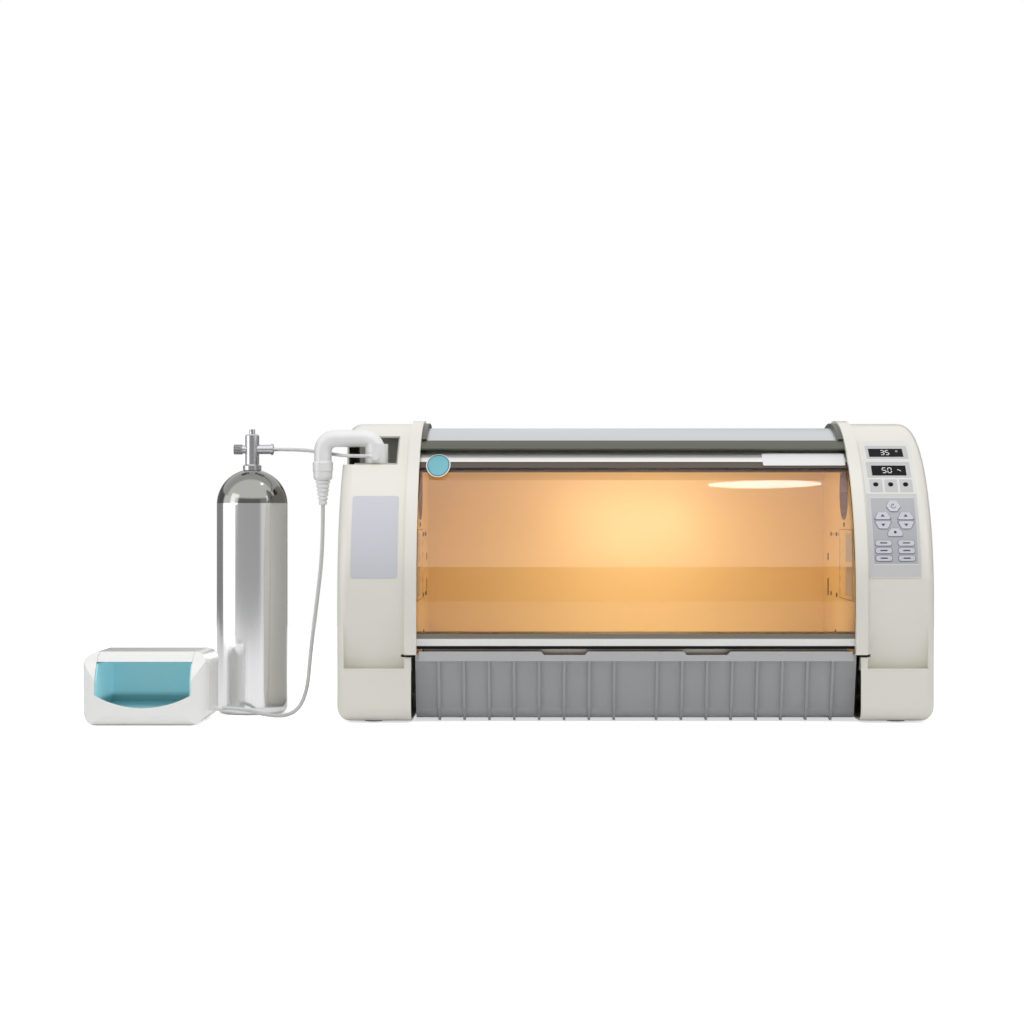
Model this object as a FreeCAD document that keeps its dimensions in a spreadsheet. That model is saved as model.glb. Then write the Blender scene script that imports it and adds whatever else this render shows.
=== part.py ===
import FreeCAD, Part
import math
import os
import re
import Sketcher

# Pet brooder: a heated chamber with a roll-top front, a mist elbow, an oxygen cylinder and a compressor.
# X runs to the right, Y to the back and Z up. The origin is on the table, under the middle of the whole set.

V = FreeCAD.Vector
OUT = "parts"
doc = FreeCAD.newDocument("pet_brooder")

# Driving dimensions, in millimetres and degrees
SIZES = {
    "set_width": 1286, "set_depth": 523,
    "body_width": 906, "body_depth": 480, "floor_gap": 3, "wall": 3, "fit": 0.3,
    "arc_y": 279, "arc_z": 189, "rim_radius": 279, "face_radius": 274,
    "housing_width": 121, "rim_width": 18, "foot_height": 83, "foot_width": 113, "rim_foot": 104,
    "bottom_round": 24, "edge_round": 20, "back_round": 16,
    "recess_margin": 11,
    "slot_reach": 24, "slot_high": 4,
    "liner_thick": 3, "liner_set": 3, "liner_radius": 250, "door_gap": 2,
    "track_width": 12, "track_radius": 251.5, "groove_low": 256, "groove_high": 262, "groove_deep": 8,
    "track_low": -16.2, "track_high": 128,
    "roof_radius": 267, "roof_thick": 3, "bar_low": 57.7, "bar_high": 63.4, "bar_radius": 272.5,
    "bar_thick": 3.5,
    "roof_back": 137.5,
    "trim_width": 8, "trim_radius": 275,
    "window_radius": 260.5, "window_thick": 3, "guide_play": 0.4,
    "door_low": -11.6, "trim_low": -13.2, "rail_low": -15.5, "seal_low": -16.7,
    "top_rail_low": 49.5, "ridge_low": 52.6, "ridge_high": 55.1, "top_rail_high": 59.5, "ridge_out": 263.5,
    "rail_in": 252, "rail_out": 263, "grip_out": 270, "grip_offset": 108, "grip_width": 72,
    "chamber_back": 440, "ceiling_radius": 249, "ceiling_thick": 3,
    "lamp_long": 560, "lamp_thick": 3, "lamp_from": 66, "lamp_to": 84,
    "base_half": 334, "base_low": 5.5, "base_top": 108.5, "lip_low": 94.5, "lip_half": 328, "lip_front": 10,
    "base_front": 16, "base_rake": 24, "base_back": 473, "base_round": 16, "base_wall": 3,
    "rib_pitch": 38, "rib_first": 32.4, "rib_width": 4, "rib_proud": 4, "rib_tip": 3.5, "scoop_deep": 5,
    "ledge_wide": 25,
    "tray_front": 42, "tray_high": 11, "tray_gap": 3, "tray_wall": 2,
    "fan_y": 165, "fan_z": 352, "fan_radius": 42, "fan_hub": 15, "fan_deep": 25, "fan_wall": 2.5,
    "fan_spoke": 5,
    "fan_swing": 8, "blade_thick": 2, "shaft_radius": 3, "run_fit": 0.05,
    "vent_y": 56, "vent_z": 182, "vent_wide": 156, "vent_high": 112, "vent_pane": 70, "vent_thick": 2,
    "vent_rim": 7,
    "vent_slot": 9,
    "panel_left": 353, "panel_right": 432, "panel_low": 6.5, "panel_high": 62, "panel_thick": 0.8,
    "film_gap": 0.1,
    "keypad_left": 360, "keypad_right": 427, "keypad_low": 11, "keypad_high": 33.7, "key_proud": 1.2,
    "key_travel": 0.8, "key_play": 0.3, "key_drop": 0.25, "key_flange": 1, "key_round": 2, "pill_round": 3.6,
    "pill_wide": 24.6, "pill_high": 8.6, "pill_one": 375.5, "pill_two": 410, "pill_angle": 17.75,
    "pill_step": 2.47,
    "hex_wide": 26, "hex_half": 12.4, "hex_one": 376.5, "hex_two": 411.5, "hex_angle": 25.45, "hex_step": 1.6,
    "power_wide": 22, "power_high": 19, "power_x": 394, "power_angle": 30.6,
    "confirm_angle": 21.35, "confirm_wide": 22, "confirm_high": 13, "board_thick": 1.6,
    "display_x": 393.5, "display_width": 52.8, "display_high": 21.3, "display_proud": 0.6,
    "display_one": 54.3, "display_two": 45.2, "lamp_angle": 39.1, "lamp_radius": 4, "lamp_pitch": 22.9,
    "foot_pad_radius": 14, "foot_x": 400, "foot_y": 60,
    "inlet_proud": 8, "inlet_wide": 50, "inlet_high": 28, "inlet_x": 393, "inlet_z": 60, "pin_gap": 10,
    "port_right": 366, "port_floor": 396, "port_ceiling": 437, "port_back": 205, "port_wall": 2,
    "tee_x": -400, "tee_y": 121, "tee_radius": 18, "tee_high": 30, "nipple_radius": 6.5, "nipple_long": 8,
    "nipple_z": 406.8,
    "nipple_reach": 10, "tee_seat": 8,
    "pipe_radius": 13.5, "pipe_wall": 2, "pipe_bend": 20, "pipe_z": 434.6, "pipe_drop_x": -484,
    "cup_radius": 15.7, "cup_high": 29, "cup_top": 399, "boot_high": 39, "boot_radius": 5, "boot_rib": 1.5,
    "bottle_x": -414, "bottle_y": -27.5, "bottle_radius": 56, "bottle_high": 332, "bottle_round": 12,
    "bottle_wall": 4,
    "valve_radius": 11, "valve_high": 57, "collar_radius": 14.5, "collar_high": 9, "arm_radius": 7.5,
    "arm_z": 33,
    "arm_long": 34, "arm_seat": 16, "barb_long": 7, "barb_radius": 2.8, "knob_long": 13, "pin_radius": 3,
    "pin_deep": 6,
    "stem_radius": 4.5, "stem_high": 8,
    "unit_x": -549, "unit_width": 188, "unit_depth": 175, "unit_high": 109, "unit_round": 36, "unit_hood": 60,
    "unit_heel": 16, "unit_nape": 24, "unit_foot": 26, "unit_brow": 22, "unit_front": -87.5,
    "bay_half": 72, "bay_back": 60.5, "bay_floor": 27, "bay_top": 92, "lip_side": 46, "lip_radius": 146,
    "tray_back": 57, "lid_low": 95, "lid_gap": 0.5, "hinge_y": 56, "hinge_z": 105, "hinge_pin": 1.5,
    "boss_long": 5, "boss_radius": 3.2, "pin_reach": 4,
    "barb_y": 44, "barb_z": 16, "barb_out": 8, "hose_radius": 2.8, "air_radius": 3,
}
sheet = doc.addObject("Spreadsheet::Sheet", "Sizes")
for row, (alias, value) in enumerate(SIZES.items(), 1):
    sheet.set(f"A{row}", alias)
    sheet.set(f"B{row}", str(value))
    sheet.setAlias(f"B{row}", alias)
doc.recompute()

WORDS = re.compile(r"[a-z][a-z_]+")


def cell(expression):
    """The expression with each driving dimension written as its cell."""
    return WORDS.sub(lambda m: "Sizes." + m.group() if m.group() in SIZES else m.group(), str(expression))


def size(expression):
    """The value of an expression of driving dimensions."""
    return float(sheet.evalExpression(cell(expression)))


def line_to(x, y):
    return (x, y, None)


def arc_to(x, y, radius, turn=1):
    """A corner reached by an arc: turn is 1 for anticlockwise and -1 for clockwise."""
    return (x, y, (radius, turn))


def ring(x, y, radius):
    """A whole circle for a sketch."""
    return ("ring", x, y, radius)


def on_arc(radius, angle):
    """The side-view point at a radius and an angle above the front horizontal of the door's axis."""
    return f"arc_y - ({radius})*cos({angle})", f"arc_z + ({radius})*sin({angle})"


def sector(inner, outer, low, high):
    """The side-view outline of a curved strip about the door's axis."""
    return [line_to(*on_arc(outer, low)), arc_to(*on_arc(outer, high), outer, -1),
            line_to(*on_arc(inner, high)), arc_to(*on_arc(inner, low), inner, 1)]


def block(x0, x1, y0, y1):
    """A rectangle's outline."""
    return [line_to(x0, y0), line_to(x1, y0), line_to(x1, y1), line_to(x0, y1)]


def draw_ring(sketch, x, y, radius):
    centre = V(size(x), size(y), 0)
    edge = sketch.addGeometry(Part.Circle(centre, V(0, 0, 1), size(radius)), False)
    for kind, value, expression in (("DistanceX", centre.x, x), ("DistanceY", centre.y, y)):
        held = sketch.addConstraint(Sketcher.Constraint(kind, -1, 1, edge, 3, value))
        sketch.setExpression(f"Constraints[{held}]", cell(expression))
    held = sketch.addConstraint(Sketcher.Constraint("Radius", edge, size(radius)))
    sketch.setExpression(f"Constraints[{held}]", cell(radius))


def draw_loop(sketch, corners):
    """Closes the corners into a loop whose every point and radius is held by an expression."""
    points = [V(size(x), size(y), 0) for x, y, _ in corners]
    first, count = sketch.GeometryCount, len(corners)
    for i, start in enumerate(points):
        end, bend = points[(i + 1) % count], corners[(i + 1) % count][2]
        if bend is None:
            sketch.addGeometry(Part.LineSegment(start, end), False)
            continue
        radius, turn = size(bend[0]), bend[1]
        half = (end - start) * 0.5
        rise = math.sqrt(max(radius ** 2 - half.Length ** 2, 0))
        centre = start + half + V(-half.y, half.x, 0).normalize() * rise * turn
        angles = [math.atan2(p.y - centre.y, p.x - centre.x) for p in (start, end)]
        angles = angles if turn > 0 else angles[::-1]
        sketch.addGeometry(Part.ArcOfCircle(Part.Circle(centre, V(0, 0, 1), radius), *angles), False)
    for i in range(count):
        a, b = i, (i + 1) % count
        turned_a = corners[(a + 1) % count][2] is not None and corners[(a + 1) % count][2][1] < 0
        turned_b = corners[(b + 1) % count][2] is not None and corners[(b + 1) % count][2][1] < 0
        sketch.addConstraint(Sketcher.Constraint(
            "Coincident", first + a, 1 if turned_a else 2, first + b, 2 if turned_b else 1))
        start = 2 if turned_a else 1
        for kind, value, expression in (("DistanceX", points[i].x, corners[i][0]),
                                        ("DistanceY", points[i].y, corners[i][1])):
            held = sketch.addConstraint(Sketcher.Constraint(kind, -1, 1, first + i, start, value))
            sketch.setExpression(f"Constraints[{held}]", cell(expression))
        bend = corners[(i + 1) % count][2]
        if bend:
            held = sketch.addConstraint(Sketcher.Constraint("Radius", first + i, size(bend[0])))
            sketch.setExpression(f"Constraints[{held}]", cell(bend[0]))


def new_sketch(body, plane, start, loops):
    """A sketch on one of the body's origin planes, start along the plane's axis."""
    sketch = body.newObject("Sketcher::SketchObject", "Outline")
    origin = [f for f in body.Origin.OriginFeatures if f.Role == plane + "_Plane"]
    sketch.AttachmentSupport = [(origin[0], "")]
    sketch.MapMode = "FlatFace"
    away = "-" if plane == "XZ" else ""
    sketch.setExpression(".AttachmentOffset.Base.z", cell(f"{away}({start})"))
    for loop in loops:
        if loop[0] == "ring":
            draw_ring(sketch, *loop[1:])
        else:
            draw_loop(sketch, loop)
    return sketch


def new_body(label):
    body = doc.addObject("PartDesign::Body", label)
    body.Label = label
    return body


def pad(body, plane, start, length, *loops):
    """Adds the loops' area, from start along the plane's axis."""
    feature = body.newObject("PartDesign::Pad", "Pad")
    feature.Profile = new_sketch(body, plane, start, loops)
    feature.Reversed = plane == "XZ"
    feature.setExpression("Length", cell(length))
    doc.recompute()
    return feature


def pocket(body, plane, start, length, *loops):
    """Cuts the loops' area, from start along the plane's axis."""
    before = body.Shape.Volume
    feature = body.newObject("PartDesign::Pocket", "Pocket")
    feature.Profile = new_sketch(body, plane, start, loops)
    feature.Reversed = plane != "XZ"
    feature.setExpression("Length", cell(length))
    doc.recompute()
    if not body.Shape.Volume < before - 1e-6:
        raise RuntimeError(f"a pocket in {body.Label} cuts nothing")
    return feature


def revolve(body, loop, kind="Revolution"):
    """Adds, or as a Groove cuts, an outline in X and Z turned about the body's own Z axis."""
    feature = body.newObject(f"PartDesign::{kind}", kind)
    feature.Profile = new_sketch(body, "XZ", 0, [loop])
    feature.ReferenceAxis = (feature.Profile[0], ["V_Axis"])
    feature.Angle = 360
    doc.recompute()
    return feature


def fillet(body, radius, chosen):
    """Rounds the edges for which chosen(edge) is true."""
    edges, solid = [f"Edge{i}" for i, e in enumerate(body.Shape.Edges, 1) if chosen(e)], body.Tip
    feature = body.newObject("PartDesign::Fillet", "Fillet")
    feature.Base = (solid, edges)
    feature.setExpression("Radius", cell(radius))
    doc.recompute()
    return feature


def on_plane(axis, value):
    """Chooses edges that lie in the plane where one coordinate has a value."""
    low, high = {"X": ("XMin", "XMax"), "Y": ("YMin", "YMax"), "Z": ("ZMin", "ZMax")}[axis]
    return lambda e: all(abs(getattr(e.BoundBox, k) - value) < 0.01 for k in (low, high))


def stand(piece, x="brooder_x", y="brooder_y", z="0"):
    """Places a piece of the brooder, whose own coordinates start at the middle of its front."""
    places = {"brooder_x": "set_width/2 - body_width/2",
              "brooder_y": "set_depth/2 - inlet_proud - body_depth"}
    for key, value in (("x", x), ("y", y), ("z", z)):
        for name, place in places.items():
            value = value.replace(name, f"({place})")
        piece.setExpression(f".Placement.Base.{key}", cell(value))
    return piece


def side_slab(label, side, near, far, *loops):
    """A body between two distances from the middle, on the right (side 1) or the left (side -1)."""
    body = new_body(label)
    pad(body, "YZ", near if side > 0 else f"-({far})", f"({far}) - ({near})", *loops)
    return body


def cut(label, base, *tools):
    """The base less its tools, as a part of its own."""
    tool = tools[0]
    if len(tools) > 1:
        tool = doc.addObject("Part::MultiFuse", label + "_tools")
        tool.Shapes = list(tools)
    result = doc.addObject("Part::Cut", label)
    result.Base, result.Tool = base, tool
    result.Label = label
    return result


def mirrored(source, label):
    """The left-hand twin of a right-hand piece."""
    twin = doc.addObject("Part::Mirroring", label)
    twin.Source, twin.Normal, twin.Base = source, V(1, 0, 0), V(0, 0, 0)
    twin.Label = label
    return twin


def group(label, pieces):
    """Several solids that make one node."""
    whole = doc.addObject("Part::Compound", label)
    whole.Links = pieces
    whole.Label = label
    return whole


KEPT = []


def keep(*pieces):
    """Marks pieces that are written out, each as a node named by its label."""
    KEPT.extend(pieces)
    return pieces[0]


# Moulded end housings, each an open-sided shell under a raised rim

def dome(radius, low, back, foot_round):
    """The side view of a housing: flat foot, upright back and a round front and top."""
    front = f"arc_y - ({radius})"
    return [arc_to(f"{front} + {foot_round}", low, foot_round), line_to(f"{back} - {foot_round}", low),
            arc_to(back, f"{low} + {foot_round}", foot_round),
            line_to(back, f"arc_z + sqrt(({radius})^2 - ({back} - arc_y)^2)"),
            arc_to(front, "arc_z", radius), line_to(front, f"{low} + {foot_round}")]


def housing_block(label, inset):
    """The solid form of the right-hand housing, drawn in from its face by an inset."""
    half, inner = "body_width/2", "body_width/2 - housing_width"
    body = new_body(label)
    radius, low, back = f"face_radius - {inset}", f"floor_gap + {inset}", f"body_depth - {inset}"
    start = inner if inset == "0" else f"{inner} - 1"
    pad(body, "YZ", start, f"{half} - {inset} - ({start})", dome(radius, low, back,
                                                                 f"(bottom_round - {inset})"))
    corner = size(f"arc_z + sqrt(({radius})^2 - ({back} - arc_y)^2)")
    fillet(body, f"back_round - {inset}", lambda e: on_plane("Z", corner)(e) and e.BoundBox.XLength > 1)
    fillet(body, f"edge_round - {inset}", on_plane("X", size(f"{half} - {inset}")))
    if inset == "0":
        pad(body, "YZ", inner, "rim_width", dome("rim_radius", "rim_foot", "body_depth", "2"))
        pocket(body, "YZ", f"{inner} - 1", "housing_width - foot_width + 1",
               block("-1", "body_depth + 1", "-1", "rim_foot"))
        pocket(body, "YZ", inner, "slot_reach", block("-1", "bottom_round", "rim_foot - slot_high",
                                                      "rim_foot"))
    radius = f"face_radius - {inset}"
    recess = [line_to("-20", f"foot_height - {inset}"),
              line_to(f"arc_y - sqrt(({radius})^2 - (arc_z - foot_height + {inset})^2)",
                      f"foot_height - {inset}"),
              arc_to(f"arc_y - ({radius})", "arc_z", radius, -1), line_to("-20", "arc_z")]
    inside = f"{inner} + rim_width" if inset == "0" else f"{inner} - 2"
    pocket(body, "YZ", inside, f"{half} - recess_margin + {inset} - ({inside})", recess)
    return body


outer = housing_block("housing_outside", "0")
core = housing_block("housing_inside", "wall")
shell = cut("housing_shell", outer, core)


def face_window(label, left, right, low, high):
    """A tool that opens the housing's curved wall between two angles."""
    return side_slab(label, 1, left, right, sector("face_radius - wall - 2", "face_radius + 2", low, high))


keypad_window = face_window("keypad_window", "keypad_left", "keypad_right", "keypad_low", "keypad_high")
display_window = face_window("display_opening", "panel_left + 10", "panel_right - 6",
                             "display_two - 2.8", "display_one + 2.8")
lamp_window = face_window("lamp_opening", "panel_left + 10", "panel_right - 10", "lamp_angle - 1",
                          "lamp_angle + 1")
keep(stand(cut("right_housing", shell, keypad_window, display_window, lamp_window)))

port_tool = new_body("port_opening")
pad(port_tool, "YZ", "-body_width/2 - 1", "body_width/2 + 1 - port_right",
    block("-20", "port_back", "port_floor - port_wall - fit", "port_ceiling + port_wall + fit"))
keep(stand(cut("left_housing", mirrored(shell, "left_shell"), port_tool)))

# Grey lining of the port recess, which carries the mist elbow
recess_lining = new_body("port_recess")
lining_low, lining_high = "port_floor - port_wall", "port_ceiling + port_wall"
surface = "arc_y - sqrt((face_radius - 1)^2 - ({} - arc_z)^2)"
pad(recess_lining, "YZ", "-body_width/2 + edge_round", "body_width/2 - edge_round - port_right",
    [arc_to(surface.format(lining_low), lining_low, "face_radius - 1"), line_to("port_back", lining_low),
     line_to("port_back", lining_high), line_to(surface.format(lining_high), lining_high)])
pocket(recess_lining, "YZ", "-body_width/2", "body_width/2 - port_right - port_wall",
       block("-1", "port_back - port_wall", "port_floor", "port_ceiling"))
keep(stand(recess_lining))

# Chamber: side liners, back wall, ceiling and its lamp
HALF = "body_width/2 - housing_width"
INSIDE = f"{HALF} + liner_set"
liner_back = "chamber_back + liner_thick"
liner_front = "arc_y - sqrt(liner_radius^2 - (arc_z - rim_foot + fit)^2)"
for side, name in ((-1, "left"), (1, "right")):
    keep(stand(side_slab(f"{name}_side_liner", side, INSIDE, f"{INSIDE} + liner_thick",
                         [arc_to(liner_front, "rim_foot - fit", "liner_radius"), line_to(liner_back,
                                                                                         "rim_foot - fit"),
                          line_to(liner_back, f"arc_z + sqrt(liner_radius^2 - ({liner_back} - arc_y)^2)")],
                         ring("fan_y", "fan_z", "fan_radius + fan_wall"))))
rear = new_body("rear_liner")
pad(rear, "YZ", f"-({INSIDE})", f"2*({INSIDE})",
    block("chamber_back", liner_back, "base_top",
          f"arc_z + sqrt(ceiling_radius^2 - ({liner_back} - arc_y)^2)"))
keep(stand(rear))
ceiling = new_body("ceiling_liner")
pad(ceiling, "YZ", f"-({INSIDE})", f"2*({INSIDE})",
    sector("ceiling_radius - ceiling_thick", "ceiling_radius", "bar_low", "bar_low + 74"))
pocket(ceiling, "YZ", f"-({INSIDE}) - 1", f"2*({INSIDE}) + 2", block("chamber_back", "body_depth", "0",
                                                                     "body_depth"))
keep(stand(ceiling))
lamp = new_body("ceiling_lamp")
pad(lamp, "YZ", "-lamp_long/2", "lamp_long",
    sector("ceiling_radius - ceiling_thick - lamp_thick", "ceiling_radius - ceiling_thick", "lamp_from",
           "lamp_to"))
keep(stand(lamp))

# Base pan with ribs down its raked front, and the floor tray on its ledges
RAKED = "base_front + base_rake"


def pan_outline(inset, top):
    return [arc_to(f"{RAKED} + base_round", f"base_low + {inset}", f"base_round - {inset}"),
            line_to(f"base_back - {inset}", f"base_low + {inset}"), line_to(f"base_back - {inset}", top),
            line_to(f"base_front + {inset}", top), line_to(f"base_front + {inset}", "lip_low"),
            line_to(f"{RAKED} + {inset}", "base_low + base_round")]


pan = new_body("base_pan")
pad(pan, "YZ", "-base_half", "2*base_half", pan_outline("0", "rim_foot - fit"))
pad(pan, "YZ", "-lip_half", "2*lip_half", block("lip_front", "base_back", "lip_low", "base_top"))
rib_shape = [line_to("base_front - rib_proud", "lip_low"), line_to(f"{RAKED} - rib_proud",
                                                                   "base_low + base_round"),
             line_to(f"{RAKED} + base_round/2", "base_low - rib_tip"), line_to(f"{RAKED} + base_round + 6",
                                                                               "base_low"),
             line_to(f"{RAKED} + base_round + 6", "base_low + 2"), line_to(f"{RAKED} + base_wall",
                                                                           "base_low + base_round"),
             line_to("base_front + base_wall", "lip_low")]
for start in ("rib_first", "-rib_first - 7*rib_pitch"):
    rib = pad(pan, "YZ", f"{start} - rib_width/2", "rib_width", rib_shape)
    row = pan.newObject("PartDesign::LinearPattern", "Ribs")
    row.Originals = [rib]
    row.Direction = (rib.Profile[0], ["N_Axis"])
    row.Occurrences = 8
    row.setExpression("Length", cell("7*rib_pitch"))
    pan.Tip = row
    doc.recompute()
LEDGE = "lip_half - base_wall"
pocket(pan, "YZ", f"-({LEDGE} - ledge_wide)", f"2*({LEDGE} - ledge_wide)", pan_outline("base_wall",
                                                                                       "rim_foot"))
pocket(pan, "YZ", f"-({LEDGE})", f"2*({LEDGE})",
       block("base_front + base_wall", "base_back - base_wall", "rim_foot - fit - 1", "base_top + 1"))
for at in ("grip_offset", "-grip_offset"):
    pocket(pan, "XZ", "-1", "base_front + base_wall + 2",
           [line_to(f"{at} - grip_width/2", "base_top + 1"), line_to(f"{at} - grip_width/2 + scoop_deep",
                                                                     "base_top - scoop_deep"),
            line_to(f"{at} + grip_width/2 - scoop_deep", "base_top - scoop_deep"),
            line_to(f"{at} + grip_width/2", "base_top + 1")])
keep(stand(pan))
tray = new_body("floor_tray")
TRAY_FOOT = "rim_foot - fit - 1"
pad(tray, "YZ", f"-({LEDGE} - tray_gap)", f"2*({LEDGE} - tray_gap)",
    block("tray_front", "chamber_back - tray_gap", TRAY_FOOT, f"{TRAY_FOOT} + tray_high"))
pocket(tray, "YZ", f"-({LEDGE} - tray_gap - tray_wall)", f"2*({LEDGE} - tray_gap - tray_wall)",
       block("tray_front + tray_wall", "chamber_back - tray_gap - tray_wall", f"{TRAY_FOOT} + tray_wall",
             f"{TRAY_FOOT} + tray_high + 1"))
keep(stand(tray))

# Roof over the back of the chamber, its front bar, edge trims and the cover behind
roof = new_body("roof_panel")
pad(roof, "YZ", f"-({HALF})", f"2*({HALF})", sector("roof_radius - roof_thick", "roof_radius", "bar_high",
                                                    "roof_back"))
keep(stand(roof))
bar = new_body("roof_front_bar")
pad(bar, "YZ", f"-({HALF})", f"2*({HALF})", sector("bar_radius - bar_thick", "bar_radius", "bar_low",
                                                   "bar_high"))
keep(stand(bar))
trims = []
for side, name in ((-1, "left"), (1, "right")):
    trim = side_slab(f"{name}_trim", side, f"{HALF} - trim_width", HALF,
                     sector("roof_radius", "trim_radius", "bar_high", "roof_back - 2"))
    trims.append(stand(trim))
keep(group("roof_trims", trims))
cover = new_body("rear_cover")
pad(cover, "YZ", f"-({HALF})", f"2*({HALF})",
    block("body_depth - 4", "body_depth - 1", "base_top", "arc_z + roof_radius*sin(roof_back) + 3"))
keep(stand(cover))

# Curved tracks, each with a groove that carries the door's guide
tracks = []
for side, name in ((-1, "left"), (1, "right")):
    track = side_slab(f"{name}_rail", side, INSIDE, f"{INSIDE} + track_width",
                      sector("track_radius", "face_radius - wall - fit", "track_low", "track_high"))
    groove = sector("groove_low", "groove_high", "track_low + 0.3", "track_high - 1")
    pocket(track, "YZ", f"{INSIDE} - 1" if side > 0 else f"-({INSIDE}) - groove_deep", "groove_deep + 1",
           groove)
    tracks.append(stand(track))
keep(group("door_tracks", tracks))

# Door: a curved window between two rails, with a seal below and a guide at each end
door_half = f"{INSIDE} - door_gap"
for label, inner, outer_radius, low, high in (
        ("door_window", "window_radius - window_thick", "window_radius", "door_low", "top_rail_low"),
        ("door_top_rail", "rail_in", "rail_out", "ridge_high", "top_rail_high"),
        ("door_top_ridge", "rail_in", "ridge_out", "ridge_low", "ridge_high"),
        ("door_top_lip", "rail_in", "rail_out", "top_rail_low", "ridge_low"),
        ("door_bottom_trim", "rail_in", "grip_out - 2", "trim_low", "door_low"),
        ("door_bottom_rail", "rail_in", "grip_out", "rail_low", "trim_low"),
        ("door_seal", "rail_in", "grip_out - 2", "seal_low", "rail_low")):
    piece = new_body(label)
    pad(piece, "YZ", f"-({door_half})", f"2*({door_half})", sector(inner, outer_radius, low, high))
    keep(stand(piece))
guides = []
for side, name in ((-1, "left"), (1, "right")):
    guide = side_slab(f"{name}_guide", side, door_half, f"{INSIDE} + groove_deep - 0.5",
                      sector("groove_low + guide_play", "groove_high - guide_play", "rail_low + 0.3",
                             "top_rail_high - 0.3"))
    guides.append(stand(guide))
keep(group("door_guides", guides))

# Fans on the side liners, each a frame with a spider, a shaft and a grille, and a rotor that spins on it
FAN_SET = {"x": f"brooder_x + {INSIDE} + fan_deep", "y": "brooder_y + fan_y", "z": "fan_z"}


def fan_place(piece, side):
    turned = FAN_SET["x"] if side > 0 else f"brooder_x - ({INSIDE} + fan_deep)"
    piece.Placement.Rotation = FreeCAD.Rotation(V(0, 0, 1), 0 if side > 0 else 180)
    return stand(piece, turned, FAN_SET["y"], FAN_SET["z"])


frames = []
for side, name in ((-1, "left"), (1, "right")):
    frame = new_body(f"{name}_fan_frame")
    pad(frame, "YZ", "-fan_deep", "fan_deep", ring("0", "0", "fan_radius + fan_wall"), ring("0", "0",
                                                                                            "fan_radius"))
    pad(frame, "YZ", "-fan_wall", "fan_wall", block("-fan_radius - 1", "fan_radius + 1", "-fan_spoke",
                                                    "fan_spoke"))
    pad(frame, "YZ", "-fan_wall", "fan_wall", block("-fan_spoke", "fan_spoke", "-fan_radius - 1",
                                                    "fan_radius + 1"))
    pad(frame, "YZ", "-fan_deep", "fan_deep", ring("0", "0", "shaft_radius"))
    start = "-fan_deep - blade_thick"
    reach = "fan_radius + fan_wall/2"
    pad(frame, "YZ", start, "blade_thick", block(f"-({reach})", reach, "-blade_thick/2", "blade_thick/2"))
    pad(frame, "YZ", start, "blade_thick", block("-blade_thick/2", "blade_thick/2", f"-({reach})", reach))
    for k in range(4):
        radius = f"(fan_radius + fan_wall)*{4 - k}/4"
        pad(frame, "YZ", start, "blade_thick", ring("0", "0", radius), ring("0", "0",
                                                                            f"{radius} - blade_thick"))
    frames.append(fan_place(frame, side))
    rotor = new_body(f"{name}_fan_rotor")
    pad(rotor, "YZ", "-fan_deep + fan_wall", "fan_deep - 2.4*fan_wall",
        ring("0", "0", "fan_hub"), ring("0", "0", "shaft_radius + run_fit"))
    lead = [line_to("-fan_deep + fan_wall + 1", "-fan_swing"),
            line_to("-fan_deep + fan_wall + 1 + blade_thick", "-fan_swing"),
            line_to("-1.6*fan_wall", "fan_swing"), line_to("-1.6*fan_wall - blade_thick", "fan_swing")]
    blade = pad(rotor, "XY", "fan_hub - 2", "fan_radius - fan_hub - 1", lead)
    wheel = rotor.newObject("PartDesign::PolarPattern", "Blades")
    wheel.Originals = [blade]
    wheel.Axis = (rotor.Origin.OriginFeatures[0], [""])
    wheel.Angle = 360
    wheel.Occurrences = 7
    rotor.Tip = wheel
    keep(fan_place(rotor, side))
keep(group("fan_frames", frames))

# Vent inserts on the side liners, each with two panes and slots beside them
vents = []
for side, name in ((-1, "left"), (1, "right")):
    near = f"{INSIDE} - vent_thick"
    vent = side_slab(f"{name}_vent_plate", side, near, INSIDE,
                     block("vent_y", "vent_y + vent_wide", "vent_z", "vent_z + vent_high"))
    cut_from = f"{near} - 1" if side > 0 else f"-({INSIDE}) + vent_thick/2"
    pane_low, pane_high = "vent_z + vent_rim", "vent_z + vent_high - vent_rim"
    middle = "vent_z + vent_high/2"
    for low, high in ((pane_low, f"{middle} - vent_rim/2"), (f"{middle} + vent_rim/2", pane_high)):
        pocket(vent, "YZ", cut_from, "vent_thick/2 + 1",
               block("vent_y + vent_rim", "vent_y + vent_rim + vent_pane", low, high))
    for k in range(5):
        low = f"vent_z + vent_rim + {k}*(vent_high - 2*vent_rim)/5"
        pocket(vent, "YZ", cut_from, "vent_thick/2 + 1",
               block("vent_y + vent_pane + 3*vent_rim", "vent_y + vent_wide - vent_rim", low,
                     f"{low} + vent_slot"))
    vents.append(stand(vent))
keep(group("vent_inserts", vents))

# Controls on the right-hand housing: overlay, keypad plate, displays, lamps and keys
FACE = "face_radius"
PANEL_MID = "(keypad_left + keypad_right)/2"


def on_face(piece, x, angle, rise="0"):
    """Stands a piece on the housing's curved face, its own Z pointing straight out of it."""
    y, z = on_arc(f"(face_radius + {rise})", angle)
    piece.Placement.Rotation = FreeCAD.Rotation(V(1, 0, 0), 90 - size(angle))
    piece.setExpression(".Placement.Rotation.Angle", cell(f"90 - ({angle})"))
    return stand(piece, f"brooder_x + {x}", f"brooder_y + {y}", z)


def flat_block(label, half_wide, half_high, low, high):
    body = new_body(label)
    pad(body, "XY", low, f"({high}) - ({low})", block(f"-({half_wide})", half_wide, f"-({half_high})",
                                                      half_high))
    return body


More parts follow.
